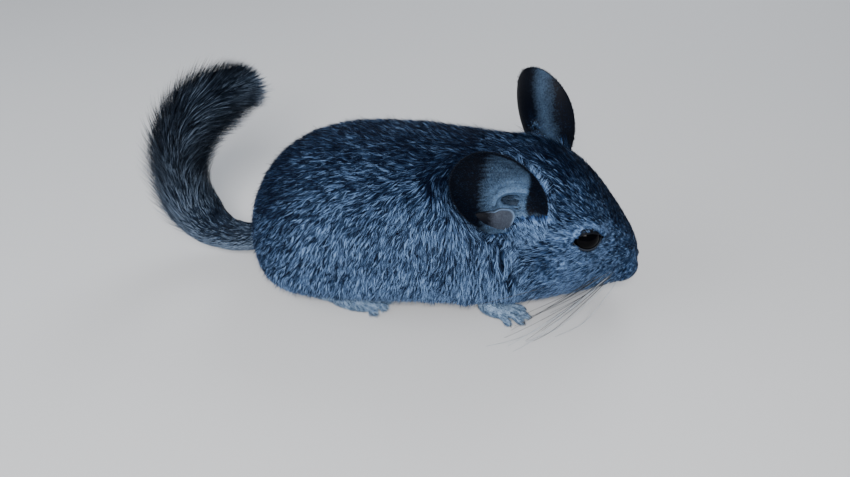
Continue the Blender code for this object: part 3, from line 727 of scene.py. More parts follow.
class NodeTree:
    """A short way to wire shader nodes."""

    def __init__(self, tree: ShaderNodeTree) -> None:
        """Keeps the tree."""
        self.tree = tree

    def add(self, kind: str, **settings: object) -> ShaderNode:
        """A new node with its settings.

        Args:
            kind: The node's type.
            **settings: Its settings, by name.

        Returns:
            The node.
        """
        node = self.tree.nodes.new(kind)
        for key, value in settings.items():
            setattr(node, key, value)
        return node

    def link(self, source: object, target: object) -> None:
        """Joins two sockets, or sets the target to a number or colour.

        Args:
            source: A socket, a number or a colour.
            target: The input socket.
        """
        if isinstance(source, NodeSocket):
            self.tree.links.new(source, target)
        else:
            target.default_value = source

    def math(self, operation: str, a: object, b: object, clamp: bool = False) -> NodeSocket:
        """The output of a Math node.

        Args:
            operation: The operation.
            a: Its first socket or number.
            b: Its second.
            clamp: Whether the result is kept from 0 to 1.

        Returns:
            The output socket.
        """
        node = self.add("ShaderNodeMath", operation=operation, use_clamp=clamp)
        self.link(a, node.inputs[0])
        self.link(b, node.inputs[1])
        return node.outputs[0]

    def mix(self, factor: object, a: object, b: object, blend: str = "MIX") -> NodeSocket:
        """The output of a colour Mix node.

        Args:
            factor: The share of the second.
            a: The first colour.
            b: The second.
            blend: How they mix.

        Returns:
            The output socket.
        """
        node = self.add("ShaderNodeMix", data_type="RGBA", blend_type=blend)
        self.link(factor, node.inputs["Factor"])
        self.link(a, node.inputs[6])
        self.link(b, node.inputs[7])
        return node.outputs[2]

    def rise(self, value: object, low: float, high: float) -> NodeSocket:
        """A smooth rise from 0 to 1 between two values.

        Args:
            value: The value.
            low: Where the rise starts.
            high: Where it ends.

        Returns:
            The output socket.
        """
        node = self.add("ShaderNodeMapRange", interpolation_type="SMOOTHSTEP")
        self.link(value, node.inputs["Value"])
        node.inputs["From Min"].default_value = low
        node.inputs["From Max"].default_value = high
        return node.outputs["Result"]

    def noise(self, scale: object, detail: float = 3.0, rough: float = 0.55) -> NodeSocket:
        """A noise value in object space.

        Args:
            scale: How fine the noise is.
            detail: How many layers it has.
            rough: How strong the finer layers are.

        Returns:
            The output socket.
        """
        coord = self.add("ShaderNodeTexCoord")
        node = self.add("ShaderNodeTexNoise")
        node.inputs["Detail"].default_value = detail
        node.inputs["Roughness"].default_value = rough
        self.link(coord.outputs["Object"], node.inputs["Vector"])
        self.link(scale, node.inputs["Scale"])
        return node.outputs["Fac"]

    def value(self, name: str) -> NodeSocket:
        """A point value of the mesh."""
        return self.add("ShaderNodeAttribute", attribute_name=name).outputs["Fac"]


def new_group(
    name: str, inputs: dict[str, tuple[str, object]], outputs: dict[str, str]
) -> tuple[ShaderNodeTree, NodeTree, object, object]:
    """An empty node group with named sockets.

    Args:
        name: The group's name.
        inputs: For each input, its socket kind and value.
        outputs: For each output, its socket kind.

    Returns:
        The group, its wiring helper, and its input and output nodes.
    """
    group = bpy.data.node_groups.new(name, "ShaderNodeTree")
    for key, (kind, value) in inputs.items():
        socket = group.interface.new_socket(key, in_out="INPUT", socket_type=kind)
        socket.default_value = value
    for key, kind in outputs.items():
        group.interface.new_socket(key, in_out="OUTPUT", socket_type=kind)
    tree = NodeTree(group)
    return group, tree, tree.add("NodeGroupInput"), tree.add("NodeGroupOutput")


def banded_hair_group() -> ShaderNodeTree:
    """Hair that is dark at its root, with a pale band towards its tip.

    Returns:
        The group.
    """
    number, colour = "NodeSocketFloat", "NodeSocketColor"
    group, tree, given, out = new_group(
        "banded_hair",
        {
            **{key: (number, 0.5) for key in ("Tone", "Along", "Random")},
            "Dark": (colour, (0.01, 0.015, 0.03, 1.0)),
            "Middle": (colour, (0.08, 0.12, 0.18, 1.0)),
            "Pale": (colour, (0.4, 0.5, 0.6, 1.0)),
            "Contrast": (number, 0.8),
        },
        {"Color": colour},
    )
    spread = tree.math("SUBTRACT", given.outputs["Random"], 0.5)
    spread = tree.math("MULTIPLY", spread, given.outputs["Contrast"])
    level = tree.math("ADD", given.outputs["Tone"], spread, clamp=True)
    low = tree.rise(level, 0.0, 0.5)
    high = tree.rise(level, 0.45, 1.0)
    shade = tree.mix(low, given.outputs["Dark"], given.outputs["Middle"])
    shade = tree.mix(high, shade, given.outputs["Pale"])
    # Darker towards the root: the hair's own dark base, and painted shade deep in the coat.
    root = tree.rise(given.outputs["Along"], 0.05, 0.78)
    depth = tree.mix(root, (0.10, 0.20, 0.36, 1.0), (1.0, 1.0, 1.0, 1.0))
    tree.link(tree.mix(1.0, shade, depth, "MULTIPLY"), out.inputs["Color"])
    return group


def fine_bump_group() -> ShaderNodeTree:
    """A fine grain, as of short down or bare skin, as a normal.

    Returns:
        The group.
    """
    number = "NodeSocketFloat"
    group, tree, given, out = new_group(
        "fine_bump",
        {"Scale": (number, 900.0), "Strength": (number, 0.3), "Depth": (number, 0.0003)},
        {"Normal": "NodeSocketVector", "Grain": number},
    )
    grain = tree.noise(given.outputs["Scale"], 4.0, 0.65)
    bump = tree.add("ShaderNodeBump")
    tree.link(given.outputs["Strength"], bump.inputs["Strength"])
    tree.link(given.outputs["Depth"], bump.inputs["Distance"])
    tree.link(grain, bump.inputs["Height"])
    tree.link(bump.outputs["Normal"], out.inputs["Normal"])
    tree.link(grain, out.inputs["Grain"])
    return group


def new_material(
    name: str, roughness: float, specular: float = 0.5
) -> tuple[Material, NodeTree, object]:
    """A material of one shader.

    Args:
        name: The material's name.
        roughness: Its roughness.
        specular: How strongly it mirrors light.

    Returns:
        The material, its wiring helper and the inputs of its shader.
    """
    made = bpy.data.materials.new(name)
    made.use_nodes = True
    sockets = made.node_tree.nodes["Principled BSDF"].inputs
    sockets["Roughness"].default_value = roughness
    sockets["Specular IOR Level"].default_value = specular
    return made, NodeTree(made.node_tree), sockets


@dataclass(frozen=True)
class HairFinish:
    """Fur or bristles, coloured by marking, place along the hair and chance."""

    name: str
    dark: Colour = (0.0008, 0.003, 0.013)
    middle: Colour = (0.023, 0.049, 0.110)
    pale: Colour = (0.22, 0.36, 0.62)
    contrast: float = 1.15
    roughness: float = 0.6
    grain: float = 700.0
    specular: float = 0.12
    sheen: Colour = (0.66, 0.78, 1.0)

    def make(self, hair: ShaderNodeTree, bump: ShaderNodeTree) -> Material:
        """The material, from the shared groups.

        Args:
            hair: The group of the banded hair.
            bump: The group of the fine grain.

        Returns:
            The material.
        """
        made, tree, shader = new_material(self.name, self.roughness, self.specular)
        node = tree.add("ShaderNodeGroup", node_tree=hair)
        for socket, value in (("Tone", "tone"), ("Along", "along"), ("Random", "chance")):
            tree.link(tree.value(value), node.inputs[socket])
        for socket in ("Dark", "Middle", "Pale"):
            colour = getattr(self, socket.lower())
            node.inputs[socket].default_value = (*colour, 1.0)
        node.inputs["Contrast"].default_value = self.contrast
        tree.link(node.outputs["Color"], shader["Base Color"])
        shader["Specular Tint"].default_value = (*self.sheen, 1.0)
        fine = tree.add("ShaderNodeGroup", node_tree=bump)
        fine.inputs["Scale"].default_value = self.grain
        tree.link(fine.outputs["Normal"], shader["Normal"])
        return made


@dataclass(frozen=True)
class SkinFinish:
    """Bare or downy skin whose shade follows a point value."""

    name: str
    dark: Colour
    light: Colour
    warm: Colour = (0.1, 0.1, 0.1)
    roughness: float = 0.55
    grain: float = 1400.0
    strength: float = 0.35
    specular: float = 0.4

    def make(self, bump: ShaderNodeTree) -> Material:
        """The material, from the shared bump.

        Args:
            bump: The group of the fine grain.

        Returns:
            The material.
        """
        made, tree, shader = new_material(self.name, self.roughness, self.specular)
        fine = tree.add("ShaderNodeGroup", node_tree=bump)
        fine.inputs["Scale"].default_value = self.grain
        fine.inputs["Strength"].default_value = self.strength
        patchy = tree.math("MULTIPLY", tree.math("SUBTRACT", tree.noise(260.0), 0.5), 0.25)
        grainy = tree.math("MULTIPLY", tree.math("SUBTRACT", fine.outputs["Grain"], 0.5), 0.6)
        shade = tree.math("ADD", tree.value("tone"), patchy)
        shade = tree.math("ADD", shade, grainy, clamp=True)
        light = tree.mix(tree.value("warmth"), (*self.light, 1.0), (*self.warm, 1.0))
        colour = tree.mix(shade, (*self.dark, 1.0), light)
        tree.link(colour, shader["Base Color"])
        tree.link(fine.outputs["Normal"], shader["Normal"])
        return made


@dataclass(frozen=True)
class GlossFinish:
    """A wet or horny surface, with a faint change of colour over it."""

    name: str
    first: Colour
    second: Colour
    roughness: float
    scale: float = 300.0
    specular: float = 0.5

    def make(self) -> Material:
        """The material, from its two colours.

        Returns:
            The material.
        """
        made, tree, shader = new_material(self.name, self.roughness, self.specular)
        colour = tree.mix(tree.noise(self.scale), (*self.first, 1.0), (*self.second, 1.0))
        tree.link(colour, shader["Base Color"])
        return made


@dataclass
class Finishes:
    """Every material of the animal, each made once."""

    def __post_init__(self) -> None:
        """Builds the shared groups and the materials."""
        hair, bump = banded_hair_group(), fine_bump_group()
        self.coat = HairFinish("coat").make(hair, bump)
        self.tail = HairFinish(
            "tail_bristles", dark=(0.0016, 0.0030, 0.0070), middle=(0.022, 0.034, 0.057),
            pale=(0.22, 0.29, 0.40), contrast=1.1,
        ).make(hair, bump)
        self.paws = HairFinish(
            "paw_hair", dark=(0.012, 0.022, 0.04), middle=(0.065, 0.115, 0.190),
            pale=(0.32, 0.45, 0.63), contrast=0.8,
        ).make(hair, bump)
        self.down = HairFinish(
            "ear_down", dark=(0.0012, 0.0025, 0.007), middle=(0.016, 0.036, 0.076),
            pale=(0.14, 0.25, 0.42), contrast=0.8,
        ).make(hair, bump)
        self.ear = SkinFinish(
            "ear_skin", (0.001, 0.0018, 0.005), (0.12, 0.202, 0.338),
            warm=(0.092, 0.106, 0.142), specular=0.08,
        ).make(bump)
        self.lid = SkinFinish(
            "lid_skin", (0.0015, 0.002, 0.004), (0.06, 0.075, 0.105), grain=2200.0,
            specular=0.06,
        ).make(bump)
        self.nose = SkinFinish(
            "nose_skin", (0.004, 0.005, 0.008), (0.030, 0.036, 0.052), roughness=0.45,
            grain=2600.0, strength=0.5, specular=0.3,
        ).make(bump)
        self.eye = GlossFinish(
            "eye", (0.0004, 0.0004, 0.0008), (0.001, 0.001, 0.002), 0.05, specular=0.05
        ).make()
        self.claw = GlossFinish(
            "claw", (0.010, 0.010, 0.012), (0.06, 0.055, 0.05), 0.3, 900.0
        ).make()
        self.whisker = SkinFinish(
            "whisker", (0.006, 0.008, 0.012), (0.42, 0.46, 0.52), roughness=0.35,
            strength=0.1,
        ).make(bump)


@dataclass(frozen=True)
class Eye:
    """An eye, its opening between the lids, and the lids themselves."""

    side: Side
    look: Triple = (0.30, -0.92, 0.25)
    radius: float = 8.0
    long: float = 7.1
    high: float = 4.5
    upper: float = 0.86
    taper: float = 0.25
    cover: float = 9.2

    def frame(self) -> tuple[Array, Array, Array, Array]:
        """Its centre and the directions out, forward and up there.

        Returns:
            The centre and three unit directions.
        """
        flip = np.array((1.0, -float(self.side.value), 1.0))
        centre = np.array(EYE) * flip
        out = unit(np.array(self.look) * flip)
        forward = np.array((1.0, 0.0, 0.10))
        forward = unit(forward - out * forward.dot(out))
        up = np.cross(out, forward)
        return centre, out, forward, up if up[2] > 0 else -up

    def local(self, points: Array) -> tuple[Array, Array, Array]:
        """Points as distances forward, up and out from the centre.

        Args:
            points: The points.

        Returns:
            The three distances of each point.
        """
        centre, out, forward, up = self.frame()
        away = points - centre
        return away @ forward, away @ up, away @ out

    def growth(self, points: Array) -> Array:
        """How far outside the opening each point lies, in its plane.

        Args:
            points: The points.

        Returns:
            Millimetres, below 0 inside the opening.
        """
        along, rise, _ = self.local(points)
        high = np.where(rise > 0, self.high * self.upper, self.high)
        lean = 1.0 - self.taper * np.clip(along / self.long, -1.0, 1.0) ** 2
        size = np.hypot(along / self.long, rise / (high * lean))
        return (size - 1.0) * 5.2

    def line(self, grow: float, radius: float, count: int = 96) -> Array:
        """The opening, grown by so much, on a sphere of this radius.

        Args:
            grow: How far the opening is grown.
            radius: The sphere's radius.
            count: Points round it.

        Returns:
            The points of the line.
        """
        centre, out, forward, up = self.frame()
        angle = round_turn(count)
        c, s = np.cos(angle), np.sin(angle)
        along = (self.long + grow) * c
        rise = (self.high + grow) * np.where(s > 0, self.upper * s, s)
        rise = rise * (1 - self.taper * c * c)
        depth = np.sqrt(np.maximum(radius**2 - along**2 - rise**2, 0.5))
        return centre + forward * along[:, None] + up * rise[:, None] + out * depth[:, None]

    def ball(self) -> Patch:
        """The eyeball."""
        return ellipsoid(tuple(self.frame()[0]), (self.radius,) * 3, fineness=72)

    def lids(self) -> Patch:
        """Both lids as one rounded fold round the opening.

        Returns:
            One patch.
        """
        rings = np.array([self.line(grow, self.radius + out) for grow, out, _ in LIDS])
        turn = round_turn(rings.shape[1])
        below = ramp(0.15, -0.45, np.sin(turn))[None]
        level = np.array([tone for _, _, tone in LIDS])[:, None]
        shade = (0.05 + (level - 0.05) * below).ravel()
        made = ring_loft(rings, capped=False).valued(tone=shade)
        if self.side is Side.RIGHT:
            return made
        return Patch(made.points, made.quads[:, ::-1], made.tris, made.values)


@dataclass(frozen=True)
class Ear:
    """A rounded thin ear: its cup with folds, its flap and its root."""

    side: Side
    centre: Triple
    length_way: Triple
    facing_way: Triple
    half_length: float = 26.0
    half_width: float = 16.8
    depth: float = 8.5
    wall: float = 0.9

    def frame(self) -> tuple[Array, Array, Array, Array]:
        """Rim centre and the directions of length, front and facing.

        Returns:
            The centre and three unit directions.
        """
        along = unit(np.array(self.length_way))
        facing = np.array(self.facing_way)
        facing = unit(facing - along * facing.dot(along))
        front = np.cross(facing, along)
        return np.array(self.centre), along, front if front[0] > 0 else -front, facing

    def local(self, points: Array) -> tuple[Array, Array, Array]:
        """Points as distances along, to the front and out of the cup.

        Args:
            points: The points.

        Returns:
            The three distances of each point.
        """
        centre, along, front, facing = self.frame()
        away = points - centre
        return away @ along, away @ front, away @ facing

    def bowl(self, r: Array, c: Array) -> Array:
        """Depth of the cup's floor below the rim plane."""
        depth = self.depth * (1.0 - r**3.4) * (1.0 - 0.12 * c)
        return depth + 3.0 * (r * c) ** 2

    @staticmethod
    def leaning(a: Array, w: Array) -> tuple[Array, Array]:
        """Places in the cup as distances across and down it, along its trough."""
        c, s = TROUGH
        return -c * a + s * w, -s * a - c * w

    def trough(self) -> tuple[Array, Array]:
        """The directions across and down the cup, along its trough."""
        across, down = self.leaning(*self.frame()[1:3])
        return unit(across), unit(down)

    def share(self, a: Array, w: Array) -> tuple[Array, Array]:
        """Places as shares of the way out to the rim, and of the way along.

        Args:
            a: Distance along the ear.
            w: Distance to its front.

        Returns:
            Both shares, the second between -1 and 1.
        """
        c = np.clip(a / self.half_length, -1.0, 1.0)
        breadth = self.half_width * (1.0 + 0.10 * c)
        return np.hypot(a / self.half_length, w / breadth), c

    def folds(self, a: Array, w: Array) -> tuple[Array, Array]:
        """Height of the folds at places in the cup, with painted highlight on the ridges and ribs,
        and painted shade in the canal's pocket and in the groove between the ridges.

        Args:
            a: Distance along the ear.
            w: Distance to its front.

        Returns:
            How far the surface rises there, and the painted light there: highlight above 0, shade
            below.
        """
        x, y = self.leaning(a, w)
        rise, pale = np.zeros_like(a), np.zeros_like(a)
        for path, width, height, light in RIDGES:
            row = smooth_rows([(u, v, 0.0) for u, v in path], 30)
            away = np.hypot(x[:, None] - row[None, :, 0], y[:, None] - row[None, :, 1])
            near = bell(away.min(axis=1), width)
            rise += near * height
            # Painted highlight along each ridge.
            pale += near * light
        pocket = ramp(1.0, 0.62, np.hypot((x - 8.2) / 5.8, (y - 3.7) / 2.9))
        rise -= 2.3 * pocket
        # Painted shade deep in the canal's pocket.
        pale -= 0.95 * pocket * ramp(13.0, 7.5, x)
        comb = ramp(6.0, 8.0, x) * ramp(14.2, 13.0, x)
        comb *= ramp(2.0, 3.5, y) * ramp(13.5, 11.5, y)
        ribs = np.sin(2 * math.pi * (y + 0.12 * x + 0.3 * np.sin(x)) / 1.55)
        # Painted highlight on the ribs of the comb, painted shade between them.
        pale += comb * (0.26 * ribs - 0.16)
        rise += comb * 0.25 * ribs
        # Painted shade in the groove between the two ridges.
        band = ramp(2.2, 0.0, np.abs(y + 3.2 - 0.1 * x)) * ramp(0.0, 3.0, x)
        pale -= 0.10 * band
        return rise, pale

    def shade(self, a: Array, w: Array, r: Array) -> Array:
        """How light the skin is: a floor with a painted highlight, between two walls darkened with
        painted shade.

        Args:
            a: Distance along the ear.
            w: Distance to its front.
            r: Share of the way out to the rim.

        Returns:
            The tone at each place.
        """
        x, y = self.leaning(a, w)
        grid = np.stack([x / 4.5, y * 1.25, np.zeros_like(x)], axis=1)
        strokes = SoftNoise(29, 1.0)(grid)
        # Painted highlight: the floor grows lighter towards its middle and lower part.
        light = 0.26 + 0.21 * ramp(-14.0, 1.0, y) * ramp(-12.0, 0.0, x)
        light += 0.16 * ramp(-3.0, 6.0, x) * ramp(-10.0, -3.0, y)
        light += 0.08 * strokes
        # Painted shade on the rear wall, which is turned from the light.
        light -= 0.54 * ramp(-1.5, -17.5, x + 0.06 * y + 0.5 * strokes)
        # Painted shade on the front wall, in a crescent along the rim.
        edge = 14.8 + 0.22 * np.maximum(y - 7.0, 0.0) - 0.12 * np.maximum(-4.0 - y, 0.0)
        beyond = ramp(-1.4, 1.6, x - edge + 0.25 * strokes)
        light -= 0.72 * beyond * ramp(17.0, 10.5, y + 0.5 * strokes)
        light -= 0.34 * ramp(0.93, 1.0, r) * ramp(8.0, 3.0, y)
        light += 0.34 * ramp(10.5, 14.0, y + 0.12 * x) * ramp(3.0, 7.0, x)
        return light

    @staticmethod
    def rear_shade(w: Array, half_width: float) -> Array:
        """How light the back of the ear is: a painted highlight along a band, with painted shade at
        both edges.
        """
        away = np.abs(w - 6.5) / half_width
        return -0.12 + 0.40 * ramp(0.56, -0.04, away)

    def cup(self) -> Patch:
        """The thin shell of the ear with its folds.

        Returns:
            One patch.
        """
        rings, count = 72, 180
        centre, along, front, facing = self.frame()
        r = np.linspace(0.0, 1.0, rings + 1)[1:] ** 0.8
        angle = round_turn(count)
        r, angle = np.meshgrid(r, angle, indexing="ij")
        c, s = np.cos(angle), np.sin(angle)
        a = self.half_length * r * c
        w = self.half_width * r * s * (1.0 + 0.10 * c)
        rise, pale = self.folds(a.ravel(), w.ravel())
        window = ramp(1.0, 0.9, r.ravel())
        height = -self.bowl(r, c).ravel() + rise * window
        wave = 0.35 * np.sin(5 * angle + 1.0) * r**6
        height += wave.ravel()
        flat = a.ravel()[:, None] * along + w.ravel()[:, None] * front
        inner = centre + flat + height[:, None] * facing
        grid = inner.reshape(rings, count, 3)
        toward = np.roll(grid, -1, axis=1) - np.roll(grid, 1, axis=1)
        radial = np.gradient(grid, axis=0)
        back = unit(np.cross(toward, radial))
        back *= -np.sign((back @ facing))[..., None]
        sunk = np.minimum(rise * window, 0.0) - self.bowl(r, c).ravel()
        plain = centre + flat + sunk[:, None] * facing
        thick = self.wall * (1.0 - 0.45 * r**4)
        outer = plain.reshape(rings, count, 3) + back * (thick + 0.5 * (1 - r))[..., None]
        margin = (grid[-1] + outer[-1]) / 2 + unit(radial[-1]) * 0.45
        rows = np.concatenate([grid, margin[None], outer[::-1]])
        # The inside takes the painted highlight and shade of the floor, walls and folds. The back
        # takes its painted highlight band and shaded edges.
        light = self.shade(a.ravel(), w.ravel(), r.ravel()) + pale * 0.5
        edge = np.full(count, 0.10)
        rear = self.rear_shade(w, self.half_width).reshape(rings, count)
        tone = np.concatenate([light, edge, rear[::-1].ravel(), [0.4, 0.4]])
        return ring_loft(rows).valued(tone=tone, warmth=0.0)

    def flap(self) -> Patch:
        """The rounded lobe in front of the ear's canal, with a painted highlight along its rim and
        painted shade on its rear side.

        Returns:
            One patch.
        """
        centre, _, _, facing = self.frame()
        right, down = self.trough()
        outline = np.array(FLAP).reshape(-1, 2) - FLAP_MIDDLE
        bearing = np.unwrap(np.arctan2(outline[:, 1], outline[:, 0]))
        radius = np.hypot(outline[:, 0], outline[:, 1])
        rings, count = 20, 80
        r = np.linspace(0.0, 1.0, rings + 1)[1:]
        angle = round_turn(count)
        reach = np.interp(angle, bearing, radius, period=2 * math.pi)
        reach = (np.roll(reach, 1) + 2 * reach + np.roll(reach, -1)) / 4
        r, angle = np.meshgrid(r, angle, indexing="ij")
        size, fall = (1.0, 11.6) if self.side is Side.RIGHT else (0.62, 8.0)
        x = size * reach[None] * r * np.cos(angle) - 0.3
        y = size * reach[None] * r * np.sin(angle) + fall
        # Painted highlight along the rim, left out at its rear and its foot.
        lit = ramp(-8.0, -1.0, x) * ramp(15.5, 12.0, y)
        rim = bell(r - 0.93, 0.055) * lit
        dome = 1.5 * (1.0 - r**2) - 1.0 + 0.9 * rim
        lean = -0.02 * (y - 11.0) + 0.05 * x
        sunk = 3.4 if self.side is Side.RIGHT else 5.4
        at = (
            centre
            - facing * sunk
            + x[..., None] * right
            + y[..., None] * down
            + (dome + lean)[..., None] * facing
        )
        under = at - facing * (0.8 + 2.0 * (1 - r))[..., None]
        # Tone: painted highlight on the rim, painted shade towards the rear side.
        tone = 0.40 + 0.60 * rim + 0.014 * x - 0.36 * ramp(-1.0, -6.5, x)
        tone = np.concatenate([tone.ravel(), tone[::-1].ravel(), [0.3] * 2])
        warmth = 0.9 * (1.0 - rim)
        warmth = np.concatenate([warmth.ravel(), warmth[::-1].ravel(), [0.9] * 2])
        rows = np.concatenate([at, under[::-1]])
        return ring_loft(rows).valued(tone=tone, warmth=warmth)

    def root(self) -> Patch:
        """The stalk that carries the cup into the head.

        Returns:
            One patch.
        """
        centre, along, _, facing = self.frame()
        base = centre - along * 14.0 - facing * (self.depth + 5.6)
        inward = (0.35, 0.85, -0.35) if self.side is Side.RIGHT else (0.05, -0.75, -0.66)
        end = base + unit(np.array(inward)) * 11.0
        line = smooth_rows([base + along * 4.0 - facing * 1.0, base, end], 12)
        radii = np.interp(np.linspace(0, 1, 12), (0, 0.3, 1), (3.4, 5.4, 7.4))
        return tube(line, radii, 32).valued(tone=0.15, warmth=0.0)

    def closeness(self, points: Array) -> Array:
        """1 where points touch the back of the cup, falling to 0 some way off.

        Args:
            points: The points.

        Returns:
            One value for each point.
        """
        a, w, h = self.local(points)
        r, c = self.share(a, w)
        away = h + self.bowl(np.minimum(r, 1.0), c) + self.wall
        near = bell(away, 4.5) * ramp(1.45, 1.0, r)
        return near * ramp(2.0, -8.0, a)

    def rim_share(self, points: Array) -> tuple[Array, Array]:
        """Where points lie against the rim, seen along the ear's facing.

        Args:
            points: The points.

        Returns:
            The distance outside the rim as a share of its radius, and how near
            the point is to the plane of the rim, 0 to 1.
        """
        a, w, h = self.local(points)
        r = np.hypot(a / self.half_length, w / self.half_width)
        return r - 1.0, ramp(24.0, 14.0, np.abs(h + 6.0))

    def pressed(self, points: Array) -> Array:
        """Points moved back behind the cup wherever they would show in its hollow.

        Args:
            points: The points.

        Returns:
            The points in their new places.
        """
        a, w, h = self.local(points)
        r, c = self.share(a, w)
        floor = -self.bowl(np.minimum(r, 1.0), c) - self.wall - 1.0
        over = np.where(h < 9.0, np.maximum(h - floor, 0.0), 0.0)
        over *= ramp(1.06, 0.98, r)
        return points - over[:, None] * self.frame()[3]

    def covers(self, points: Array, spare: float = 0.6) -> Array:
        """Whether points lie in the wall or in the hollow of the cup.

        Args:
            points: The points.
            spare: Room kept behind the wall, in millimetres.

        Returns:
            True or false for each point.
        """
        a, w, h = self.local(points)
        r, c = self.share(a, w)
        floor = -self.bowl(np.minimum(r, 1.0), c)
        low = floor - self.wall - spare - 2.6 * (r < 0.7)
        return (r < 1.02) & (h > low) & (h < 7.0)


@dataclass
class Body:
    """The body's outer form, its skin beneath the coat, and its markings."""

    voxel: float = 0.9
    fold: float = 2.4
    seed: int = 11

    def __post_init__(self) -> None:
        """Shapes the outer form and finds its normals."""
        self.eyes = (Eye(Side.RIGHT), Eye(Side.LEFT))
        self.ears = (
            Ear(Side.RIGHT, (32.0, -35.5, 83.0), (-0.79, -0.10, 0.60), (0.32, -0.86, 0.40)),
            Ear(Side.LEFT, (50.5, 27.0, 91.5), (-0.30, 0.16, 0.94), (0.62, 0.78, 0.06)),
        )
        self.sway = SoftNoise(self.seed, 7.0)
        self.ripple = SoftNoise(self.seed + 1, 2.6)
        self.cloud = SoftNoise(self.seed + 2, 16.0)
        self.outer = self.shape()
        self.normals = normals_of(self.outer)

    def shape(self) -> Patch:
        """The form of head, neck, torso and upper limbs out to the coat's tips.

        Returns:
            One patch.
        """
        rows = smooth_rows(PROFILE, 160)
        angle = round_turn(96)
        c, s = np.cos(angle)[None], np.sin(angle)[None]
        x, half, top, bottom, wide = (rows[:, i : i + 1] for i in range(5))
        power = 2.0 / np.where(s > 0, 2.0, SIDE_FULLNESS)
        y = half * np.sign(c) * np.abs(c) ** power
        reach = np.where(s > 0, top - wide, wide - bottom)
        z = np.maximum(wide + reach * np.sign(s) * np.abs(s) ** power, -1.5)
        rings = np.stack([np.broadcast_to(x, y.shape), y, z], axis=-1)
        pieces = [ring_loft(rings[:, ::-1])]
        for form in SWELLINGS:
            pieces += [ellipsoid(*form, side=side) for side in Side]
        pieces += [ellipsoid(*CHIN), ellipsoid(tuple(NOSE), NOSE_RADII)]
        whole = fused("trunk", pieces, self.voxel, 7)
        covers = [ellipsoid(tuple(eye.frame()[0]), (eye.cover,) * 3) for eye in self.eyes]
        return fused("trunk", [whole, *covers], self.voxel, 2)

    def creases(self, points: Array) -> Array:
        """How deep each point lies in a fold of the skin, 0 to 1.

        Args:
            points: The points.

        Returns:
            One value for each point.
        """
        x, y, z = points.T
        flank = ramp(18.0, 27.0, np.abs(y))
        total = np.zeros(len(points))
        for start, lean, low, high, width, depth in CREASES:
            line = start - lean * (z - 30.0) + 0.6 * np.sin(z / 3.5 + start)
            window = ramp(low, low + 5, z) * ramp(high, high - 5, z)
            total += depth * bell(x - line, width) * window * flank
        foot = 56.3 + 0.008 * np.minimum(x - 42.0, 0.0) ** 2 + 0.7 * np.sin(x / 1.9)
        window = ramp(16.0, 24.0, x) * ramp(47.0, 41.0, x) * (y < 0)
        total += 0.8 * bell(z - foot, 0.9) * window * flank
        return np.clip(total, 0.0, 1.0)

    def mouth(self, points: Array) -> Array:
        """How deep each point lies in the cleft of the nose or between the lips.

        Args:
            points: The points.

        Returns:
            One value for each point.
        """
        x, y, z = (points - (92.0, 0.0, 24.0)).T
        turn = np.degrees(np.arctan2(np.abs(y), x))
        climb = np.degrees(np.arctan2(z, np.hypot(x, y)))
        lips = bell(climb + 58.0 - 0.16 * turn, 5.5)
        lips *= ramp(92.0, 70.0, turn) * (x > -3.0)
        cleft = bell(y, 0.45) * ramp(-4.0, -12.0, climb)
        cleft *= ramp(-66.0, -56.0, climb) * (x > 2.0)
        return np.clip(lips + cleft, 0.0, 1.0)

    def depth(self, points: Array) -> Array:
        """Depth of the coat from its tips to the skin.

        Args:
            points: The points.

        Returns:
            Millimetres at each point.
        """
        x = points[:, 0]
        base = np.interp(x, (20, 45, 62, 80, 94, 103), (4.6, 3.6, 2.3, 1.5, 0.9, 0.5))
        base *= np.interp(x, (-103, -90), (0.7, 1.0))
        for eye in self.eyes:
            _, _, out = eye.local(points)
            near = ramp(7.0, 1.0, eye.growth(points)) * (out > 0)
            base = base * (1 - near) + 0.85 * near
        return base

    def marking(self, points: Array, normals: Array) -> Array:
        """How pale the coat is: 0 along the back and crown, 1 at the belly's hem, with painted
        shade in the folds, in the mouth's cleft, on the rump's lower rear and above the ear.

        Args:
            points: The points.
            normals: The unit normals there.

        Returns:
            One value for each point.
        """
        x, y, z = points.T
        up = normals[:, 2]
        high = ramp(0.30, 0.95, up + 0.004 * (z - 60.0))
        tone = 0.51 - 0.25 * high - 0.15 * ramp(0.75, 0.98, up)
        tone += 0.10 * ramp(46.0, 16.0, z) + 0.12 * ramp(13.0, 4.0, z)
        rump = ramp(-58.0, -94.0, x) * ramp(32.0, 60.0, z)
        tone -= 0.60 * rump
        # Painted shade on the lower rear of the rump, where it faces away.
        behind = ramp(0.35, 0.90, -normals[:, 0]) * ramp(-60.0, -80.0, x)
        tone -= 0.32 * behind * ramp(62.0, 40.0, z)
        tone += 0.36 * blot(x, z, (-91.0, 52.0), (9.0, 9.0))
        tone += 0.13 * ramp(54.0, 66.0, x) * ramp(60.0, 48.0, z)
        tone += 0.10 * blot(x, z, (24.0, 30.0), (20.0, 24.0))
        head = ramp(40.0, 58.0, x)
        crown = ramp(16.0, 7.0, np.abs(y)) * ramp(40.0, 60.0, z)
        tone -= 0.20 * head * crown
        tone -= 0.26 * ramp(82.0, 98.0, x)
        for eye in self.eyes:
            grow = eye.growth(points)
            _, rise, out = eye.local(points)
            facing = ramp(-2.0, 4.0, out)
            patch = bell(grow - 5.0, 4.0) * ramp(-2.0, 4.0, rise)
            tone += 0.33 * patch * facing
            tone -= 0.40 * bell(np.maximum(grow, 0), 1.1) * facing
        hem = blot(x, z, (48.0, 56.0), (13.0, 7.0))
        tone += 0.30 * hem * ramp(20.0, 28.0, np.abs(y))
        nape = blot(x, y, (52.0, 8.0), (11.0, 16.0))
        tone += 0.15 * nape * ramp(76.0, 86.0, z)
        tone += 0.10 * np.exp(-(((x - 72.0) / 14.0) ** 2) - ((z - 30.0) / 14.0) ** 2)
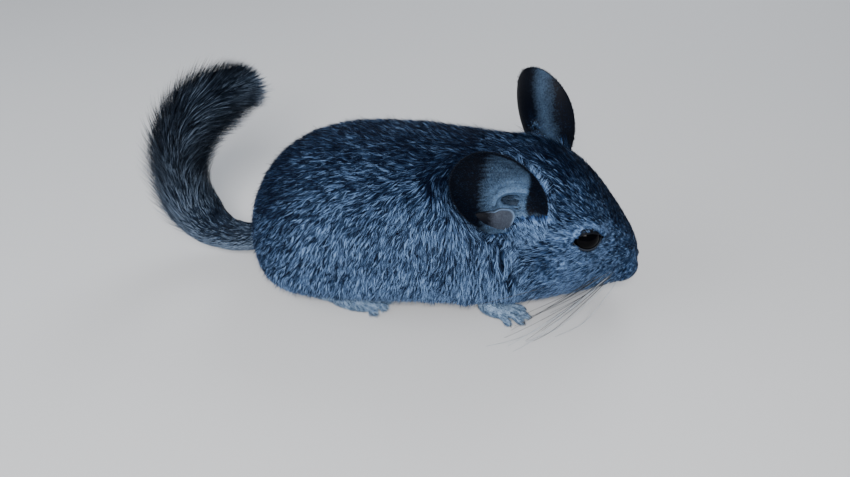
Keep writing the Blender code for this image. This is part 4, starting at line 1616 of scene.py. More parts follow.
        # Painted shade in the folds of the flank and in the cleft of the mouth.
        tone -= 0.75 * self.creases(points) + 0.7 * self.mouth(points)
        tone += self.round_ear(points)
        calm = 1.0 - 0.6 * ramp(45.0, 60.0, x)
        tone += (0.10 * self.cloud(points) + 0.12 * self.sway(points)) * calm
        return np.clip(tone, 0.02, 0.98)

    def round_ear(self, points: Array) -> Array:
        """The pale margin below and before the swept-back ear, and painted shadow on the fur above
        it.

        Args:
            points: The points.

        Returns:
            What it adds to the tone at each point.
        """
        ear = self.ears[0]
        a, w, _ = ear.local(points)
        x, y = ear.leaning(a, w)
        outside, near = ear.rim_share(points)
        front = ramp(8.0, 14.0, x) * ramp(1.0, 11.0, y)
        notch = ramp(-2.0, 8.0, x) * ramp(7.0, 12.0, y)
        band = ramp(0.16, 0.02, outside) * front
        patch = ramp(0.34, 0.10, outside) * notch
        # Painted shadow on the fur above the rim.
        above = ramp(0.36, 0.05, outside) * ramp(6.0, -4.0, y)
        return (0.30 * np.maximum(band, patch) - 0.24 * above) * near

    def lie(self, points: Array, normals: Array) -> Array:
        """The direction in which the hair lies at each point.

        Args:
            points: The points.
            normals: The unit normals there.

        Returns:
            One unit direction for each point.
        """
        x, y, z = points.T
        side = np.clip(y / 18.0, -1.0, 1.0)
        flank = ramp(0.97, 0.25, normals[:, 2])
        upright = flank * (0.50 + 0.33 * ramp(-35.0, 22.0, x))
        body = np.stack([-0.95 + upright, 0.30 * side * (1 - flank), -0.05 - 1.05 * flank], axis=1)
        away = points - (NOSE + (4.0, 0.0, 4.0))
        face = unit(away)
        face[:, 2] -= 0.22 * ramp(60.0, 20.0, z)
        share = ramp(38.0, 52.0, x + 0.16 * (z - 40.0))[:, None]
        way = body * (1 - share) + face * share
        for eye in self.eyes:
            along, rise, out = eye.local(points)
            _, _, forward, up = eye.frame()
            radial = unit(along[:, None] * forward + rise[:, None] * up)
            near = bell(np.maximum(eye.growth(points), 0), 3.0)
            way = way + 1.6 * radial * (near * (out > 0))[:, None]
        way = tangential(way, normals)
        ear = self.ears[0]
        a, w, _ = ear.local(points)
        _, along, front, _ = ear.frame()
        outside, near = ear.rim_share(points)
        slope = (a / ear.half_length**2)[:, None], (w / ear.half_width**2)[:, None]
        round_it = unit(front * slope[0] - along * slope[1])
        round_it *= np.sign((round_it * way).sum(axis=1))[:, None]
        near = near * ramp(0.55, 0.05, outside) * 0.85
        way = way * (1.0 - near)[:, None] + round_it * near[:, None]
        way = tangential(way, normals)
        across = np.cross(normals, way)
        calm = 1.0 - 0.5 * ramp(48.0, 62.0, x)
        bend = (0.34 * self.sway(points) + 0.30 * self.ripple(points)) * calm
        return tangential(way + across * bend[:, None], normals)

    def unwrap(self, points: Array) -> Array:
        """The place of each point on the skin opened along the belly."""
        x, y, z = points.T
        return unwrapped((x + 104.0) / 212.0, np.arctan2(y, z - 38.0) / math.pi)

    def skin(self) -> Patch:
        """The skin beneath the coat, with mouth, folds and the eye openings.

        Returns:
            One patch.
        """
        points = self.outer.points
        depth = self.depth(points) + self.fold * self.creases(points)
        depth += 0.9 * self.mouth(points)
        points = points - self.normals * depth[:, None]
        for ear in self.ears:
            points = ear.pressed(points)
        points[:, 2] = np.maximum(points[:, 2], 0.05)
        keep = np.ones(len(self.outer.quads), bool)
        for eye in self.eyes:
            _, _, out = eye.local(points)
            hidden = (eye.growth(points) < 1.2) & (out > 2.0)
            keep &= ~hidden[self.outer.quads].all(axis=1)
        quads = self.outer.quads[keep]
        used = np.unique(quads)
        index = np.full(len(points), -1)
        index[used] = np.arange(len(used))
        outer = self.outer.points[used]
        tone = self.marking(outer, self.normals[used])
        chance = 0.5 + 0.5 * self.ripple(outer * 1.7)
        values = {"tone": tone, "along": np.full(len(used), 0.55), "chance": chance}
        return Patch(points[used], index[quads], values=values)


class Region(Enum):
    """A part of the body's coat, kept as one piece."""

    HEAD = "head"
    NECK_RIGHT = "neck_right"
    NECK_LEFT = "neck_left"
    MIDDLE_RIGHT = "middle_right"
    MIDDLE_LEFT = "middle_left"
    RUMP_RIGHT = "rump_right"
    RUMP_LEFT = "rump_left"

    @staticmethod
    def of(points: Array) -> Array:
        """The number of the region that holds each point.

        Args:
            points: The points.

        Returns:
            One number for each point.
        """
        x, y, _ = points.T
        part = np.select([x > 52.0, x > 8.0, x > -46.0], [0, 1, 3], 5)
        return part + ((y > 0) & (part > 0))


@dataclass
class Coat:
    """The fur of the body: tufts that follow its lie, over the skin."""

    body: Body
    counts: tuple[int, ...] = (63_000, 47_000, 33_000, 61_000, 38_000, 61_000, 40_000)
    bunch: int = 4
    gather: float = 0.7
    stray: float = 0.04
    gap: float = 0.62
    seed: int = 23

    def tufts(self, number: int) -> Patch:
        """The tufts of one region.

        Args:
            number: The region's place in the order of regions.

        Returns:
            The tufts as one patch.
        """
        body = self.body
        rng = np.random.default_rng(self.seed + number)
        inside = Region.of(body.outer.points) == number
        weight = inside * (0.25 + 0.75 * ramp(-0.85, -0.35, body.normals[:, 2]))
        weight = weight * np.interp(body.outer.points[:, 0], (50, 75, 100), (1, 2.2, 3.6))
        weight[body.outer.points[:, 2] < 0.6] = 0.0
        middles, ups = scatter(
            body.outer, body.normals, weight, self.counts[number] // self.bunch, rng
        )
        ways = body.lie(middles, ups)
        at = middles[:, 0]
        loose = np.interp(at, (-20.0, 30.0, 60.0), (0.26, 0.15, 0.10))
        wander = (rng.normal(0.0, 1.0, len(middles)) * loose)[:, None]
        ways = tangential(ways + np.cross(ups, ways) * wander, ups)
        spots = (-20, 20, 45, 62, 80, 94, 103)
        long = np.interp(at, spots, (6.0, 7.6, 7.0, 5.2, 3.8, 2.4, 1.3))
        wide = np.interp(at, spots, (0.31, 0.31, 0.28, 0.20, 0.17, 0.15, 0.14))
        gap = np.interp(at, spots, (0.26, 0.24, 0.22, 0.17, 0.14, 0.12, 0.10))
        for eye in body.eyes:
            near = ramp(7.0, 0.5, eye.growth(middles))
            long = long * (1 - 0.55 * near)
            wide = wide * (1 - 0.35 * near)
        long = long * rng.uniform(0.7, 1.2, len(middles))
        height = rng.uniform(0.45, 1.0, len(middles))
        for ear in body.ears:
            close = ear.closeness(middles)
            rising = ways * (1 - 0.6 * close)[:, None] + ear.frame()[1] * close[:, None]
            ways = tangential(rising, ups)
            height = height + 0.7 * close
        calm = np.interp(at, (55, 75), (0.30, 0.25))
        calm = calm * np.interp(middles[:, 2], (6.0, 30.0), (0.55, 1.0))
        mood = rng.normal(0.5, 1.0, len(middles)) * calm + 0.5 * (1.0 - calm)
        which = np.repeat(np.arange(len(middles)), self.bunch)
        count = len(which)
        normals, lies = ups[which], ways[which]
        across = np.cross(normals, lies)
        u = rng.normal(0.0, 1.0, count)
        v = rng.normal(0.0, 1.0, count)
        offset = across * (u * gap[which])[:, None]
        offset = offset + lies * (v * 0.14 * long[which])[:, None]
        places = middles[which] + offset
        depth = body.depth(middles)[which]
        crease = body.creases(middles)[which]
        roots = places - normals * (depth + body.fold * crease)[:, None]
        reach = lies * (long[which] * rng.uniform(0.8, 1.1, count))[:, None]
        reach = reach - offset * self.gather
        length = np.linalg.norm(reach, axis=1)
        lies = reach / length[:, None]
        width = wide[which] * rng.uniform(0.55, 1.3, count)
        lift = depth * height[which] * rng.uniform(0.85, 1.08, count) + 0.8 * crease
        stray = rng.random(count) < self.stray
        lift = np.where(stray, lift * 1.4 + 0.4, lift)
        width = np.where(stray, width * 0.6, width)
        chance = mood[which] + rng.normal(0.0, 0.13, count) - 0.07 * u**2
        rolls = rng.normal(0.0, 0.35, count)
        parts = (roots, normals, lies, length, width, lift, rolls)
        keep = np.linalg.norm((places - NOSE) / (2.6, 3.4, 2.8), axis=1) > 1.0
        keep &= places[:, 2] > 0.8
        for row in np.moveaxis(Blades(*parts).paths(), 1, 0):
            for ear in body.ears:
                keep &= ~ear.covers(row)
            for eye in body.eyes:
                _, _, out = eye.local(row)
                keep &= ~((eye.growth(row) < 0.5) & (out > 0))
            keep &= body.creases(row) < self.gap
        tone = body.marking(places, normals)
        chance = np.clip(chance, 0.0, 1.0)
        picked = Blades(*(part[keep] for part in parts))
        places = body.unwrap(places)[keep]
        return picked.patch(places, tone=tone[keep], chance=chance[keep]).above(0.1)

    def build(self, finish: Material) -> None:
        """Makes every region's piece.

        Args:
            finish: The material.
        """
        for number, region in enumerate(Region):
            patch = self.tufts(number)
            assert patch.triangles() < COAT_LIMIT, region.value
            add_piece("coat_" + region.value, patch, finish, "coat")


@dataclass
class Tail:
    """The tail: a short-haired root and a plume of long bristles."""

    root_share: float = 0.36
    bristles: int = 25_000
    root_hairs: int = 18_000
    seed: int = 41

    def __post_init__(self) -> None:
        """Measures the centre line."""
        rows = smooth_rows(TAIL, 240)
        self.rows_at = rows
        self.spots = np.concatenate(
            [[0.0], np.cumsum(np.linalg.norm(np.diff(rows[:, :3], axis=0), axis=1))]
        )
        self.length = self.spots[-1]
        self.ways = unit(np.gradient(rows[:, :3], self.spots, axis=0))

    def place(self, s: Array) -> tuple[Array, ...]:
        """Centre, way, outward and sideways directions at distances along.

        Args:
            s: Distances along the tail.

        Returns:
            The centre and three unit directions at each distance.
        """
        inside = np.clip(s, 0.0, self.length)
        centre, way = (
            np.stack([np.interp(inside, self.spots, column) for column in table.T], -1)
            for table in (self.rows_at[:, :3], self.ways)
        )
        way = unit(way)
        centre = centre + way * (s - inside)[..., None]
        side = np.broadcast_to(np.array((0.0, 1.0, 0.0)), way.shape)
        side = unit(side - way * (side * way).sum(axis=-1, keepdims=True))
        return centre, way, np.cross(way, side), side

    def radius(self, s: Array) -> Array:
        """Distance from the centre line out to the tips of the hair."""
        return np.interp(s, self.spots, self.rows_at[:, 3])

    def core(self, s: Array) -> Array:
        """Radius of the fleshy core with its underfur.

        Args:
            s: Distances along the tail.

        Returns:
            Millimetres at each distance.
        """
        start = self.root_share * self.length
        ease = ramp(0.0, 18.0, s - start)
        return self.radius(s) * (0.86 + (0.40 - 0.86) * ease)

    def swell(self, s: Array, angle: Array) -> Array:
        """How much thicker the hair is inside the bend, in millimetres."""
        inner = ramp(0.1, -0.9, np.cos(angle))
        return 4.6 * inner * bell(s / self.length - 0.25, 0.14)

    def flesh(self) -> Patch:
        """The core as a closed tapering form.

        Returns:
            One patch.
        """
        s = np.linspace(-4.0, self.length * 0.84, 120)
        centre, _, outer, side = self.place(s)
        radius = self.core(np.clip(s, 0.0, None)) * ramp(0.90, 0.62, s / self.length)
        angle = round_turn(40)
        size = radius[:, None] + 0.8 * self.swell(s[:, None], angle[None])
        spoke = outer[:, None] * np.cos(angle)[:, None] + side[:, None] * np.sin(angle)[:, None]
        rings = centre[:, None] + spoke * size[..., None]
        tone = self.marking(np.repeat(s, len(angle)), np.tile(angle[::-1], len(s)))
        tone = np.concatenate([tone, [0.2, 0.2]])
        made = ring_loft(rings[:, ::-1]).above(0.1)
        return made.valued(tone=tone, along=0.5, chance=0.45)

    def marking(self, s: Array, angle: Array) -> Array:
        """How pale the tail is: light under its root, grey further out, with painted light lifting
        the shaded inside of the curl.

        Args:
            s: Distances along the tail.
            angle: Turns round it, 0 on the outside of the curl.

        Returns:
            The tone at each place.
        """
        under = ramp(-0.7, 0.35, np.cos(angle))
        near = ramp(0.62, 0.26, s / self.length)
        tone = 0.27 + 0.09 * near + 0.46 * under * near
        # Painted light inside the curl, lifting its shade.
        inner = ramp(0.3, -0.7, np.cos(angle)) * ramp(0.26, 0.45, s / self.length)
        tip = ramp(0.80, 0.98, s / self.length)
        return tone + 0.25 * inner + 0.16 * tip

    def plume(self) -> Patch:
        """The long bristles, splayed on the outside of the curl.

        Returns:
            One patch.
        """
        rng = np.random.default_rng(self.seed)
        count = self.bristles
        share = rng.random(count) ** 0.9
        start = (self.root_share - 0.10) * self.length
        root = start + (self.length * 0.93 - start) * share
        angle = rng.uniform(-math.pi, math.pi, count)
        progress = (root - start) / (self.length - start)
        length = np.interp(progress, (0.0, 0.2, 0.55, 1.0), (13.0, 22.0, 28.0, 26.0))
        length *= rng.uniform(0.72, 1.12, count)
        outward = 0.5 + 0.5 * np.cos(angle)
        fill = ramp(0.50, 0.70, root / self.length)
        reach = rng.uniform(0.30 * (1.0 - fill) + 0.01, 1.0, count) ** (0.6 - 0.1 * fill)
        ends = self.length * 1.02 - 6.0 * reach**3 * (0.3 + outward)
        room = ends + rng.normal(0.0, 2.2, count) - root
        length = np.minimum(length, np.maximum(room, 6.0))
        sharp = rng.random(count) ** 2
        twist = rng.normal(0.0, 0.10, count)
        begin, heading, outer, side = self.place(root)
        splay = spokes(outer, side, angle)
        tip = root + length
        close = 1.0 - 0.20 * ramp(self.length - 14.0, self.length + 3.0, tip)
        full = self.radius(np.minimum(tip, self.length)) * reach * close
        middle = ramp(0.30, 0.5, root / self.length)
        full = full * (1.0 + 0.30 * (1.0 - outward) * middle)
        full = full * (1.0 - 0.12 * outward + 0.34 * outward * sharp)
        bulge = bell(tip / self.length - 0.52, 0.17)
        full = full * (1.0 + 0.36 * outward * bulge)
        paths, sides = [], []
        for t in (0.0, 0.25, 0.52, 0.78, 1.0):
            s = root + length * t
            centre, _, outer, side = self.place(s)
            turn = angle + twist * t
            radial = spokes(outer, side, turn)
            across = -outer * np.sin(turn)[:, None] + side * np.cos(turn)[:, None]
            low = self.core(root) * 0.9 * (1.0 - ramp(0.80, 0.97, s / self.length))
            low = low + 0.8 * self.swell(root, angle)
            top = np.maximum(full, low)
            out = low + (top - low) * (1.0 - (1.0 - t) ** 1.3)
            bent = centre + radial * out[:, None]
            straight = begin + heading * (length * t)[:, None] + splay * out[:, None]
            share = (0.75 * outward)[:, None]
            paths.append(bent * (1.0 - share) + straight * share)
            sides.append(across)
        lean = rng.normal(0.0, 0.5, count)
        paths = np.stack(paths, axis=1)
        sides = np.stack(sides, axis=1)
        sides = unit(sides + np.roll(sides, 1, axis=2) * 0.2 * np.sin(lean)[:, None, None])
        width = rng.uniform(0.18, 0.40, count)
        tone = self.marking(root, angle)
        tone = tone + 0.10 * SoftNoise(5, 6.0)(paths[:, 2])
        uv = unwrapped(root / self.length, angle / math.pi)
        chance = np.clip(rng.normal(0.45, 0.27, count), 0.0, 1.0)
        values = {"tone": np.clip(tone, 0.03, 0.9), "chance": chance}
        shape = (0.8, 1.0, 0.9, 0.55, 0.0)
        return strips(paths, sides, width, shape, uv, values).above(0.15)

    def short_coat(self) -> Patch:
        """The short hair at the tail's root.

        Returns:
            One patch.
        """
        rng = np.random.default_rng(self.seed + 1)
        count = self.root_hairs
        s = rng.random(count) * self.length * (self.root_share + 0.16)
        angle = rng.uniform(-math.pi, math.pi, count)
        centre, way, outer, side = self.place(s)
        radial = spokes(outer, side, angle)
        radius = self.core(s) * 0.97 + 0.8 * self.swell(s, angle)
        roots = centre + radial * radius[:, None]
        normals = unit(radial)
        lift = self.radius(s) * rng.uniform(0.05, 0.17, count)
        lift += 0.3 * self.swell(s, angle) * rng.random(count)
        across = np.cross(normals, way)
        climb = 0.8 * (self.swell(s + 2.0, angle) - self.swell(s, angle)) / 2.0
        lies = unit(way + across * rng.normal(0, 0.16, count)[:, None] + radial * climb[:, None])
        blades = Blades(
            roots, normals, lies, rng.uniform(3.5, 7.0, count),
            rng.uniform(0.22, 0.48, count), lift, rng.normal(0.0, 0.35, count),
        )
        uv = unwrapped(s / self.length, angle / math.pi)
        chance = np.clip(rng.normal(0.5, 0.24, count), 0.0, 1.0)
        return blades.patch(uv, tone=self.marking(s, angle), chance=chance).above(0.1)

    def build(self, finishes: Finishes) -> None:
        """Makes the core, the short hair and the plume.

        Args:
            finishes: The materials.
        """
        solids = ("tail_root", "tail_middle", "tail_tip")
        add_piece("tail_core", self.flesh(), finishes.tail, "tail_coat", *solids)
        add_piece("tail_short_hair", self.short_coat(), finishes.tail, "tail_coat")
        add_piece("tail_plume", self.plume(), finishes.tail, "tail_coat")


@dataclass(frozen=True)
class Paw:
    """A paw: its pad or sole, its limb, its toes and their claws."""

    name: str
    side: Side
    palm: tuple[Triple, Triple, Triple]
    limb: tuple[Triple, ...]
    limb_radii: tuple[float, ...]
    toes: tuple[tuple[Triple, Triple, float], ...]
    claw: float = 1.9
    hairs: int = 6500
    hairy: float = 1.0

    def flip(self, point: Triple) -> Array:
        """A point given for the right, on this paw's side."""
        return np.array(point) * (1.0, -float(self.side.value), 1.0)

    def form(self) -> Patch:
        """The paw's flesh, its toes with joints.

        Returns:
            One patch.
        """
        pieces = [ellipsoid(*self.palm, side=self.side)]
        line = smooth_rows([self.flip(p) for p in self.limb], 8)
        spots = np.linspace(0, 1, len(self.limb_radii))
        radii = np.interp(np.linspace(0, 1, 8), spots, self.limb_radii)
        pieces.append(tube(line, radii - 0.3, 24))
        for root, tip, radius in self.toes:
            a, b = self.flip(root), self.flip(tip)
            knuckle = a + (b - a) * 0.45 + (0.0, 0.0, 1.1)
            row = smooth_rows([a + (a - b) * 0.4, knuckle, b], 14)
            pieces.append(tube(row, 0.88 * radius * np.array(TOE_SWELL), 18))
        made = fused(self.name, pieces, 0.42, 2).above(0.03)
        # Darker towards the floor: painted shade.
        shade = 0.62 + 0.25 * ramp(2.0, 6.0, made.points[:, 2])
        chance = 0.5 + 0.3 * SoftNoise(3, 1.5)(made.points)
        return made.valued(tone=shade, along=0.7, chance=chance)

    def claws(self) -> Patch:
        """One curved claw at the end of each toe.

        Returns:
            One patch.
        """
        made = []
        for root, tip, _ in self.toes:
            a, b = self.flip(root), self.flip(tip)
            ahead = unit(b - a)
            spots = ((-0.8, 0.9), (0.9, 0.75), (self.claw, -0.7))
            row = smooth_rows([b + ahead * out + (0, 0, up) for out, up in spots], 8)
            made.append(tube(row, np.linspace(0.72, 0.1, 8), 10, 0.8))
        return made[0].joined(*made[1:])

    def hair(self, form: Patch) -> Patch:
        """Short pale hair over the paw, towards the toes.

        Args:
            form: The paw's flesh.

        Returns:
            One patch.
        """
        rng = np.random.default_rng(61 + len(self.name) + self.side.value)
        normals = normals_of(form)
        weight = np.where(form.points[:, 2] > 0.9, 1.0, 0.0)
        count = self.hairs
        places, ups = scatter(form, normals, weight, count, rng)
        a = self.flip(self.toes[1][0])
        b = self.flip(self.toes[1][1])
        way = unit(b - a) + (0.0, 0.0, -0.35)
        lies = tangential(way + rng.normal(0.0, 0.25, (count, 3)), ups)
        blades = Blades(
            places - ups * 0.25, ups, lies, rng.uniform(1.3, 2.9, count) * self.hairy,
            rng.uniform(0.16, 0.32, count), rng.uniform(0.35, 0.85, count) * self.hairy,
            rng.normal(0.0, 0.3, count),
        )
        span = form.points.max(axis=0) - form.points.min(axis=0)
        spot = (places - form.points.min(axis=0)) / span
        turn = np.arctan2(ups[:, 1], ups[:, 2]) / math.pi
        uv = unwrapped(spot[:, 0], turn)
        chance = np.clip(rng.normal(0.55, 0.28, count), 0.0, 1.0)
        ahead = (places - a) @ unit(b - a)
        tone = 0.50 + 0.12 * self.hairy + 0.10 * ramp(-2.0, 4.0, ahead)
        tone = tone + 0.34 * SoftNoise(8, 1.3)(places * (0.5, 1.3, 1.3))
        return blades.patch(uv, tone=np.clip(tone, 0.05, 0.95), chance=chance).above(0.05)

    def build(self, finishes: Finishes) -> None:
        """Makes the paw, its hair and its claws.

        Args:
            finishes: The materials.
        """
        form = self.form()
        add_piece(self.name + "_flesh", form, finishes.paws, "pale_coat", self.name)
        add_piece(self.name + "_hair", self.hair(form), finishes.paws, "pale_coat")
        add_piece(self.name + "_claws", self.claws(), finishes.claw, "pale_coat")


def paws() -> list[Paw]:
    """All four paws.

    Returns:
        The fore and the hind paw of each side.
    """
    made = []
    for side in Side:
        fore = Paw(
            "forepaw_" + side.word, side,
            ((33.0, -26.0, 4.2), (9.5, 5.6, 4.2), (0.0, 4.0, -14.0)),
            ((20.0, -22.0, 12.0), (30.0, -24.5, 6.0)), (5.0, 4.9, 4.7, 4.5, 4.2), FORE_TOES,
        )
        hind = Paw(
            "hindpaw_" + side.word, side,
            ((-43.0, -29.8, 4.4), (15.0, 6.4, 4.4), (0.0, 2.0, -8.0)),
            ((-66.0, -26.0, 8.0), (-52.0, -28.5, 5.0)), (6.0, 5.8, 5.4, 5.0, 4.6),
            HIND_TOES, hairy=1.6,
        )
        made += [fore, hind]
    return made


@dataclass
class Muzzle:
    """The nose with its nostrils, and the whiskers."""

    whiskers: int = 17
    reach: float = 56.0
    seed: int = 71

    def nose(self) -> Patch:
        """The bare pad of the nose with two comma-shaped nostrils.

        Returns:
            One patch.
        """
        tip = NOSE + (-0.5, 0.0, 0.1)
        pad = ellipsoid(tuple(tip), (2.2, 3.1, 2.5), fineness=64)
        bridge = ellipsoid(tuple(NOSE + (-1.9, 0.0, 1.2)), (2.3, 2.3, 1.9), fineness=48)
        cleft = NOSE + (0.1, 0.0, -2.4)
        philtrum = ellipsoid(tuple(cleft), (1.2, 0.9, 1.8), fineness=32)
        made = fused("nose", [pad, bridge, philtrum], 0.22, 3)
        _, y, z = (made.points - NOSE).T
        for side in Side:
            line = np.array(((1.3, 0.9, -0.7), (1.2, 1.8, 0.1), (0.2, 2.8, 0.5)))
            line[:, 1] *= side.value
            row = smooth_rows(line, 16)
            away = (made.points - NOSE)[:, None] - row[None]
            away = np.linalg.norm(away, axis=2).min(axis=1)
            made.points[:, 0] -= 1.3 * bell(away, 0.55)
        groove = bell(y, 0.22) * ramp(1.5, -0.5, z)
        made.points[:, 0] -= 0.45 * groove
        # Darker in the groove: painted shade.
        return made.valued(tone=0.55 - 0.4 * groove)

    def hairs(self) -> Patch:
        """The whiskers, long and thin, swept back and down on both sides.

        Returns:
            One patch.
        """
        rng = np.random.default_rng(self.seed)
        made = []
        for side in Side:
            for i in range(self.whiskers):
                row, column = i % 4, i // 4
                x = 97.5 - 2.0 * column + rng.normal(0, 0.4)
                z = 29.0 - 2.6 * row + rng.normal(0, 0.4)
                root = np.array((x, -(9.0 + 0.9 * column) + 0.5 * row, z))
                length = rng.uniform(34.0, 66.0)
                way = np.array((-0.62, -0.66, -0.16 - 0.09 * row))
                way = unit(way + rng.normal(0.0, 0.13, 3))
                sag = np.array((-0.30, 0.10, -0.16)) * rng.uniform(0.2, 1.2)
                t = np.linspace(0.0, 1.0, 18)[:, None]
                path = way * t + sag * t**2
                room = (self.reach + root[1]) / max(-path[:, 1].min(), 0.1)
                line = root + path * min(length, room)
                line[:, 2] = 1.0 + np.logaddexp(0.0, (line[:, 2] - 1.0) / 1.5) * 1.5
                line[:, 1] *= -side.value
                hair = tube(line, np.linspace(0.24, 0.08, 18), 6)
                made.append(hair.valued(tone=rng.choice((0.05, 0.1, 0.9))))
        return made[0].joined(*made[1:])

    def build(self, finishes: Finishes) -> None:
        """Makes the nose and the whiskers."""
        add_piece("nose", self.nose(), finishes.nose, "ear_skin")
        add_piece("whiskers", self.hairs(), finishes.whisker, "pale_coat")


@dataclass
class Head:
    """What the head carries: eyes, lids and ears."""

    body: Body
    down_hairs: int = 21_000
    skirt_hairs: int = 3200
    fringe_bunches: int = 1100
    bunch: int = 7

    def down(self, ear: Ear, cup: Patch, number: int) -> Patch:
        """Fine short down on the back of an ear, its rim and its cup.

        Args:
            ear: The ear.
            cup: Its shell.
            number: Its place in the order of ears, for the random draw.

        Returns:
            The down as one patch.
        """
        rng = np.random.default_rng(90 + number)
        normals = normals_of(cup)
        _, along, front, facing = ear.frame()
        behind = (normals @ facing) < 0.1
        weight = np.where(behind, 1.0, 0.55)
        a, w, _ = ear.local(cup.points)
        weight = weight + 0.6 * self.notch(ear, a, w) * ~behind
        places, ups = scatter(cup, normals, weight, self.down_hairs, rng)
        a, w, _ = ear.local(places)
        out = a[:, None] * along + w[:, None] * front
        way = np.where((ups @ facing < 0)[:, None], along * 8.0 + out * 0.4, out + along * 4)
        notch = self.notch(ear, a, w) * (ups @ facing > 0)
        right, down = ear.trough()
        sweep = (0.9 * down - 0.5 * right) * 20.0
        way = way * (1.0 - notch)[:, None] + sweep * notch[:, None]
        lies = tangential(way + rng.normal(0, 1.6, way.shape), ups)
        count = len(places)
        r = np.hypot(a / ear.half_length, w / ear.half_width)
        # The down takes the cup's painted highlight and shade, inside and on the back.
        inner = ear.shade(a, w, r) + 0.5 * ear.folds(a, w)[1]
        outer = ear.rear_shade(w, ear.half_width)
        tone = np.where(ups @ facing < 0, 1.05 * outer, 1.25 * inner)
        tone -= 0.20 * notch
        blades = Blades(
            places - ups * 0.05, ups, lies,
            rng.uniform(0.8, 1.7, count) * (1.0 + 1.2 * notch),
            rng.uniform(0.10, 0.20, count) * (1.0 + 0.5 * notch),
            rng.uniform(0.12, 0.40, count) + 0.2 * notch, rng.normal(0.0, 0.3, count),
        )
        turn = np.arctan2(w, a) / math.pi
        uv = unwrapped((0.47 * r + 0.49 * (ups @ facing < 0)) / 0.96, turn)
        chance = np.clip(0.5 + rng.normal(0.0, 0.25, count) * (1 + notch), 0.0, 1.0)
        return blades.patch(uv, tone=np.clip(tone, 0.02, 0.95), chance=chance)

    @staticmethod
    def notch(ear: Ear, a: Array, w: Array) -> Array:
        """1 in the pale longer hair at the foot of the cup, beside the flap.

        Args:
            ear: The ear.
            a: Distance along the ear.
            w: Distance to its front.

        Returns:
            One value for each place.
        """
        x, y = ear.leaning(a, w)
        beside = ramp(4.0, 8.0, x) * ramp(11.5, 15.0, y + 0.12 * x)
        below = ramp(16.4, 17.6, y) * ramp(-10.0, -6.0, x)
        return np.maximum(beside, below)

    def skirt(self, ear: Ear, number: int) -> Patch:
        """Longer hair from under the ear's lower margin, down to the coat.

        Args:
            ear: The ear.
            number: Its place in the order of ears, for the random draw.

        Returns:
            The hair as one patch.
        """
        rng = np.random.default_rng(120 + number)
        centre, along, front, facing = ear.frame()
        count = self.skirt_hairs
        spread = 0.62 if ear.side is Side.RIGHT else 0.40
        angle = math.pi + rng.normal(0.0, spread, count)
        c, s = np.cos(angle), np.sin(angle)
        share = rng.uniform(0.80, 1.0, count)
        a = ear.half_length * share * c
        w = ear.half_width * share * s * (1.0 + 0.10 * c)
        low = ear.bowl(share, c) + ear.wall + 0.2
        radial = unit(a[:, None] * along + w[:, None] * front)
        roots = centre + a[:, None] * along + w[:, None] * front - low[:, None] * facing
        turn = np.cross(facing, radial)
        turn *= np.where(turn[:, 0] < 0, 1.0, -1.0)[:, None]
        way = radial * 0.75 + turn * 0.7 - facing * 0.35
        lies = unit(way + rng.normal(0.0, 0.16, way.shape))
        tone = np.full(count, 0.26)
        if ear.side is Side.RIGHT:
            tone += 0.60 * ramp(0.0, 5.0, ear.leaning(a, w)[0])
        blades = Blades(
            roots, np.repeat(facing[None], count, axis=0), lies,
            rng.uniform(3.5, 7.5, count), rng.uniform(0.18, 0.34, count),
            rng.uniform(0.1, 0.9, count), rng.normal(0.0, 0.5, count),
        )
        place = np.stack([0.5 + 0.45 * c * share, 0.5 + 0.45 * s * share], axis=1)
        chance = np.clip(rng.normal(0.5, 0.25, count), 0.0, 1.0)
        return blades.patch(place, tone=tone, chance=chance)

    def fringe(self, ear: Ear, cup: Patch) -> Patch:
        """Longer hair over the foot of the cup, in bunches with dark gaps between.

        Args:
            ear: The ear.
            cup: Its shell.

        Returns:
            The hair as one patch.
        """
        rng = np.random.default_rng(140)
        normals = normals_of(cup)
        facing = ear.frame()[3]
        a, w, _ = ear.local(cup.points)
        weight = self.notch(ear, a, w) * (normals @ facing > 0.0)
        middles, ups = scatter(cup, normals, weight**2 + 1e-6, self.fringe_bunches, rng)
        right, down = ear.trough()
        x, y = ear.leaning(*ear.local(middles)[:2])
        fan = np.clip((x - 2.0) / 14.0, -0.9, 0.7)
        ways = down + right * (fan - 0.25 + rng.normal(0.0, 0.16, len(x)))[:, None]
        ways = tangential(ways + facing * 0.12, ups)
        which = np.repeat(np.arange(len(middles)), self.bunch)
        count = len(which)
        across = np.cross(ups, ways)[which]
        u = rng.normal(0.0, 0.26, count)
        reach = ways[which] * rng.uniform(3.0, 6.0, count)[:, None]
        reach = reach - across * (0.75 * u)[:, None]
        room = 1.2 - ear.local(middles)[2][which]
        reach *= np.clip(room / np.maximum(reach @ facing, 0.1), 0.35, 1.0)[:, None]
        length = np.linalg.norm(reach, axis=1)
        tone = 0.40 + 0.26 * ramp(2.0, 8.0, x)
        mood = rng.normal(0.5, 0.36, len(middles))[which]
        blades = Blades(
            middles[which] + across * u[:, None], ups[which], reach / length[:, None],
            length, rng.uniform(0.16, 0.34, count), rng.uniform(0.5, 1.7, count),
            rng.normal(0.0, 0.4, count),
        )
        spot = np.stack([0.5 + x / 40.0, 0.5 + (y - 10.0) / 40.0], axis=1)[which]
        chance = np.clip(mood + rng.normal(0.0, 0.12, count), 0.0, 1.0)
        return blades.patch(spot, tone=tone[which], chance=chance)

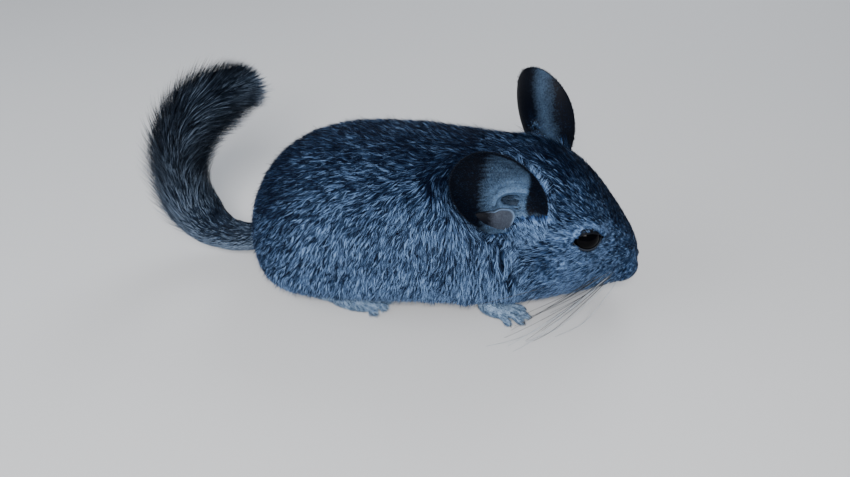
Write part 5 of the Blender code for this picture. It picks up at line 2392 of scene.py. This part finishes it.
    def build(self, finishes: Finishes) -> None:
        """Makes eyes, lids and ears.

        Args:
            finishes: The materials.
        """
        for eye in self.body.eyes:
            name = "eye_" + eye.side.word
            add_piece(name + "_ball", eye.ball(), finishes.eye, "eye", name)
            add_piece("lids_" + eye.side.word, eye.lids(), finishes.lid, "ear_skin")
        for number, ear in enumerate(self.body.ears):
            name = "ear_" + ear.side.word
            cup = ear.cup()
            shell = cup.joined(ear.flap(), ear.root())
            add_piece(name + "_cup", shell, finishes.ear, "ear_skin", name)
            down = self.down(ear, cup, number)
            add_piece(name + "_down", down, finishes.down, "ear_skin")
            skirt = self.skirt(ear, number)
            if ear.side is Side.RIGHT:
                skirt = skirt.joined(self.fringe(ear, cup))
            add_piece(name + "_skirt", skirt, finishes.coat, "coat")


@dataclass(frozen=True)
class Studio:
    """The floor, the lights and the camera."""

    place: Triple = (32.8, -291.3, 270.0)
    lens: float = 29.647
    pitch: float = 39.7
    yaw: float = 8.0
    reach: float = 3.0

    def camera(self) -> None:
        """A camera at the photograph's place and angle."""
        data = bpy.data.cameras.new("camera")
        data.sensor_width = 36.0
        data.lens = self.lens
        data.clip_start = 0.01
        obj = bpy.data.objects.new("camera", data)
        obj.location = (np.array(self.place) + SHIFT) * MM
        obj.rotation_euler = (math.radians(90.0 - self.pitch), 0.0, math.radians(self.yaw))
        bpy.context.collection.objects.link(obj)
        bpy.context.scene.camera = obj

    def light(self, name: str, at: Triple, size: float, power: float, tint: Colour) -> None:
        """An area light aimed at the animal.

        Args:
            name: Its name.
            at: Its place in metres.
            size: The side of its square in metres.
            power: Its power in watts.
            tint: Its colour.
        """
        data = bpy.data.lights.new(name, "AREA")
        data.size = size
        data.energy = power
        data.color = tint
        obj = bpy.data.objects.new(name, data)
        obj.location = at
        away = Vector(at) - Vector((0.0, 0.0, 0.04))
        obj.rotation_euler = away.to_track_quat("Z", "Y").to_euler()
        bpy.context.collection.objects.link(obj)

    def build(self) -> None:
        """Sets the floor, the lights and the camera."""
        mesh = bpy.data.meshes.new("floor")
        corners = ((-1, -1), (1, -1), (1, 1), (-1, 1))
        corners = [(x * self.reach, y * self.reach, 0.0) for x, y in corners]
        mesh.from_pydata(corners, [], [(0, 1, 2, 3)])
        floor = bpy.data.objects.new("floor", mesh)
        bpy.context.collection.objects.link(floor)
        matt, _, shader = new_material("floor", 0.9)
        shader["Base Color"].default_value = (0.62, 0.62, 0.63, 1.0)
        mesh.materials.append(matt)
        self.light("key", (0.10, -0.62, 0.62), 0.30, 9.0, (1.0, 0.99, 0.97))
        self.light("fill", (-0.75, -0.25, 0.55), 0.6, 4.0, (0.90, 0.95, 1.0))
        self.light("back", (0.25, 0.75, 0.70), 0.6, 4.0, (0.92, 0.96, 1.0))
        world = bpy.data.worlds.new("studio")
        world.use_nodes = True
        sky = world.node_tree.nodes["Background"].inputs
        sky["Color"].default_value = (0.80, 0.86, 0.95, 1.0)
        sky["Strength"].default_value = 0.35
        bpy.context.scene.world = world
        self.camera()


def main() -> None:
    """Builds the animal piece by piece, then the studio."""
    logging.basicConfig(level=logging.INFO, format="%(message)s")
    Studio().build()
    finishes = Finishes()
    body = Body()
    flesh = ["head", "neck", "torso"]
    flesh += [limb + side.word for limb in ("thigh_", "upper_arm_") for side in Side]
    add_piece("skin", body.skin(), finishes.coat, "coat", *flesh)
    Head(body).build(finishes)
    Muzzle().build(finishes)
    for paw in paws():
        paw.build(finishes)
    Tail().build(finishes)
    Coat(body).build(finishes.coat)


if __name__ == "__main__":
    main()
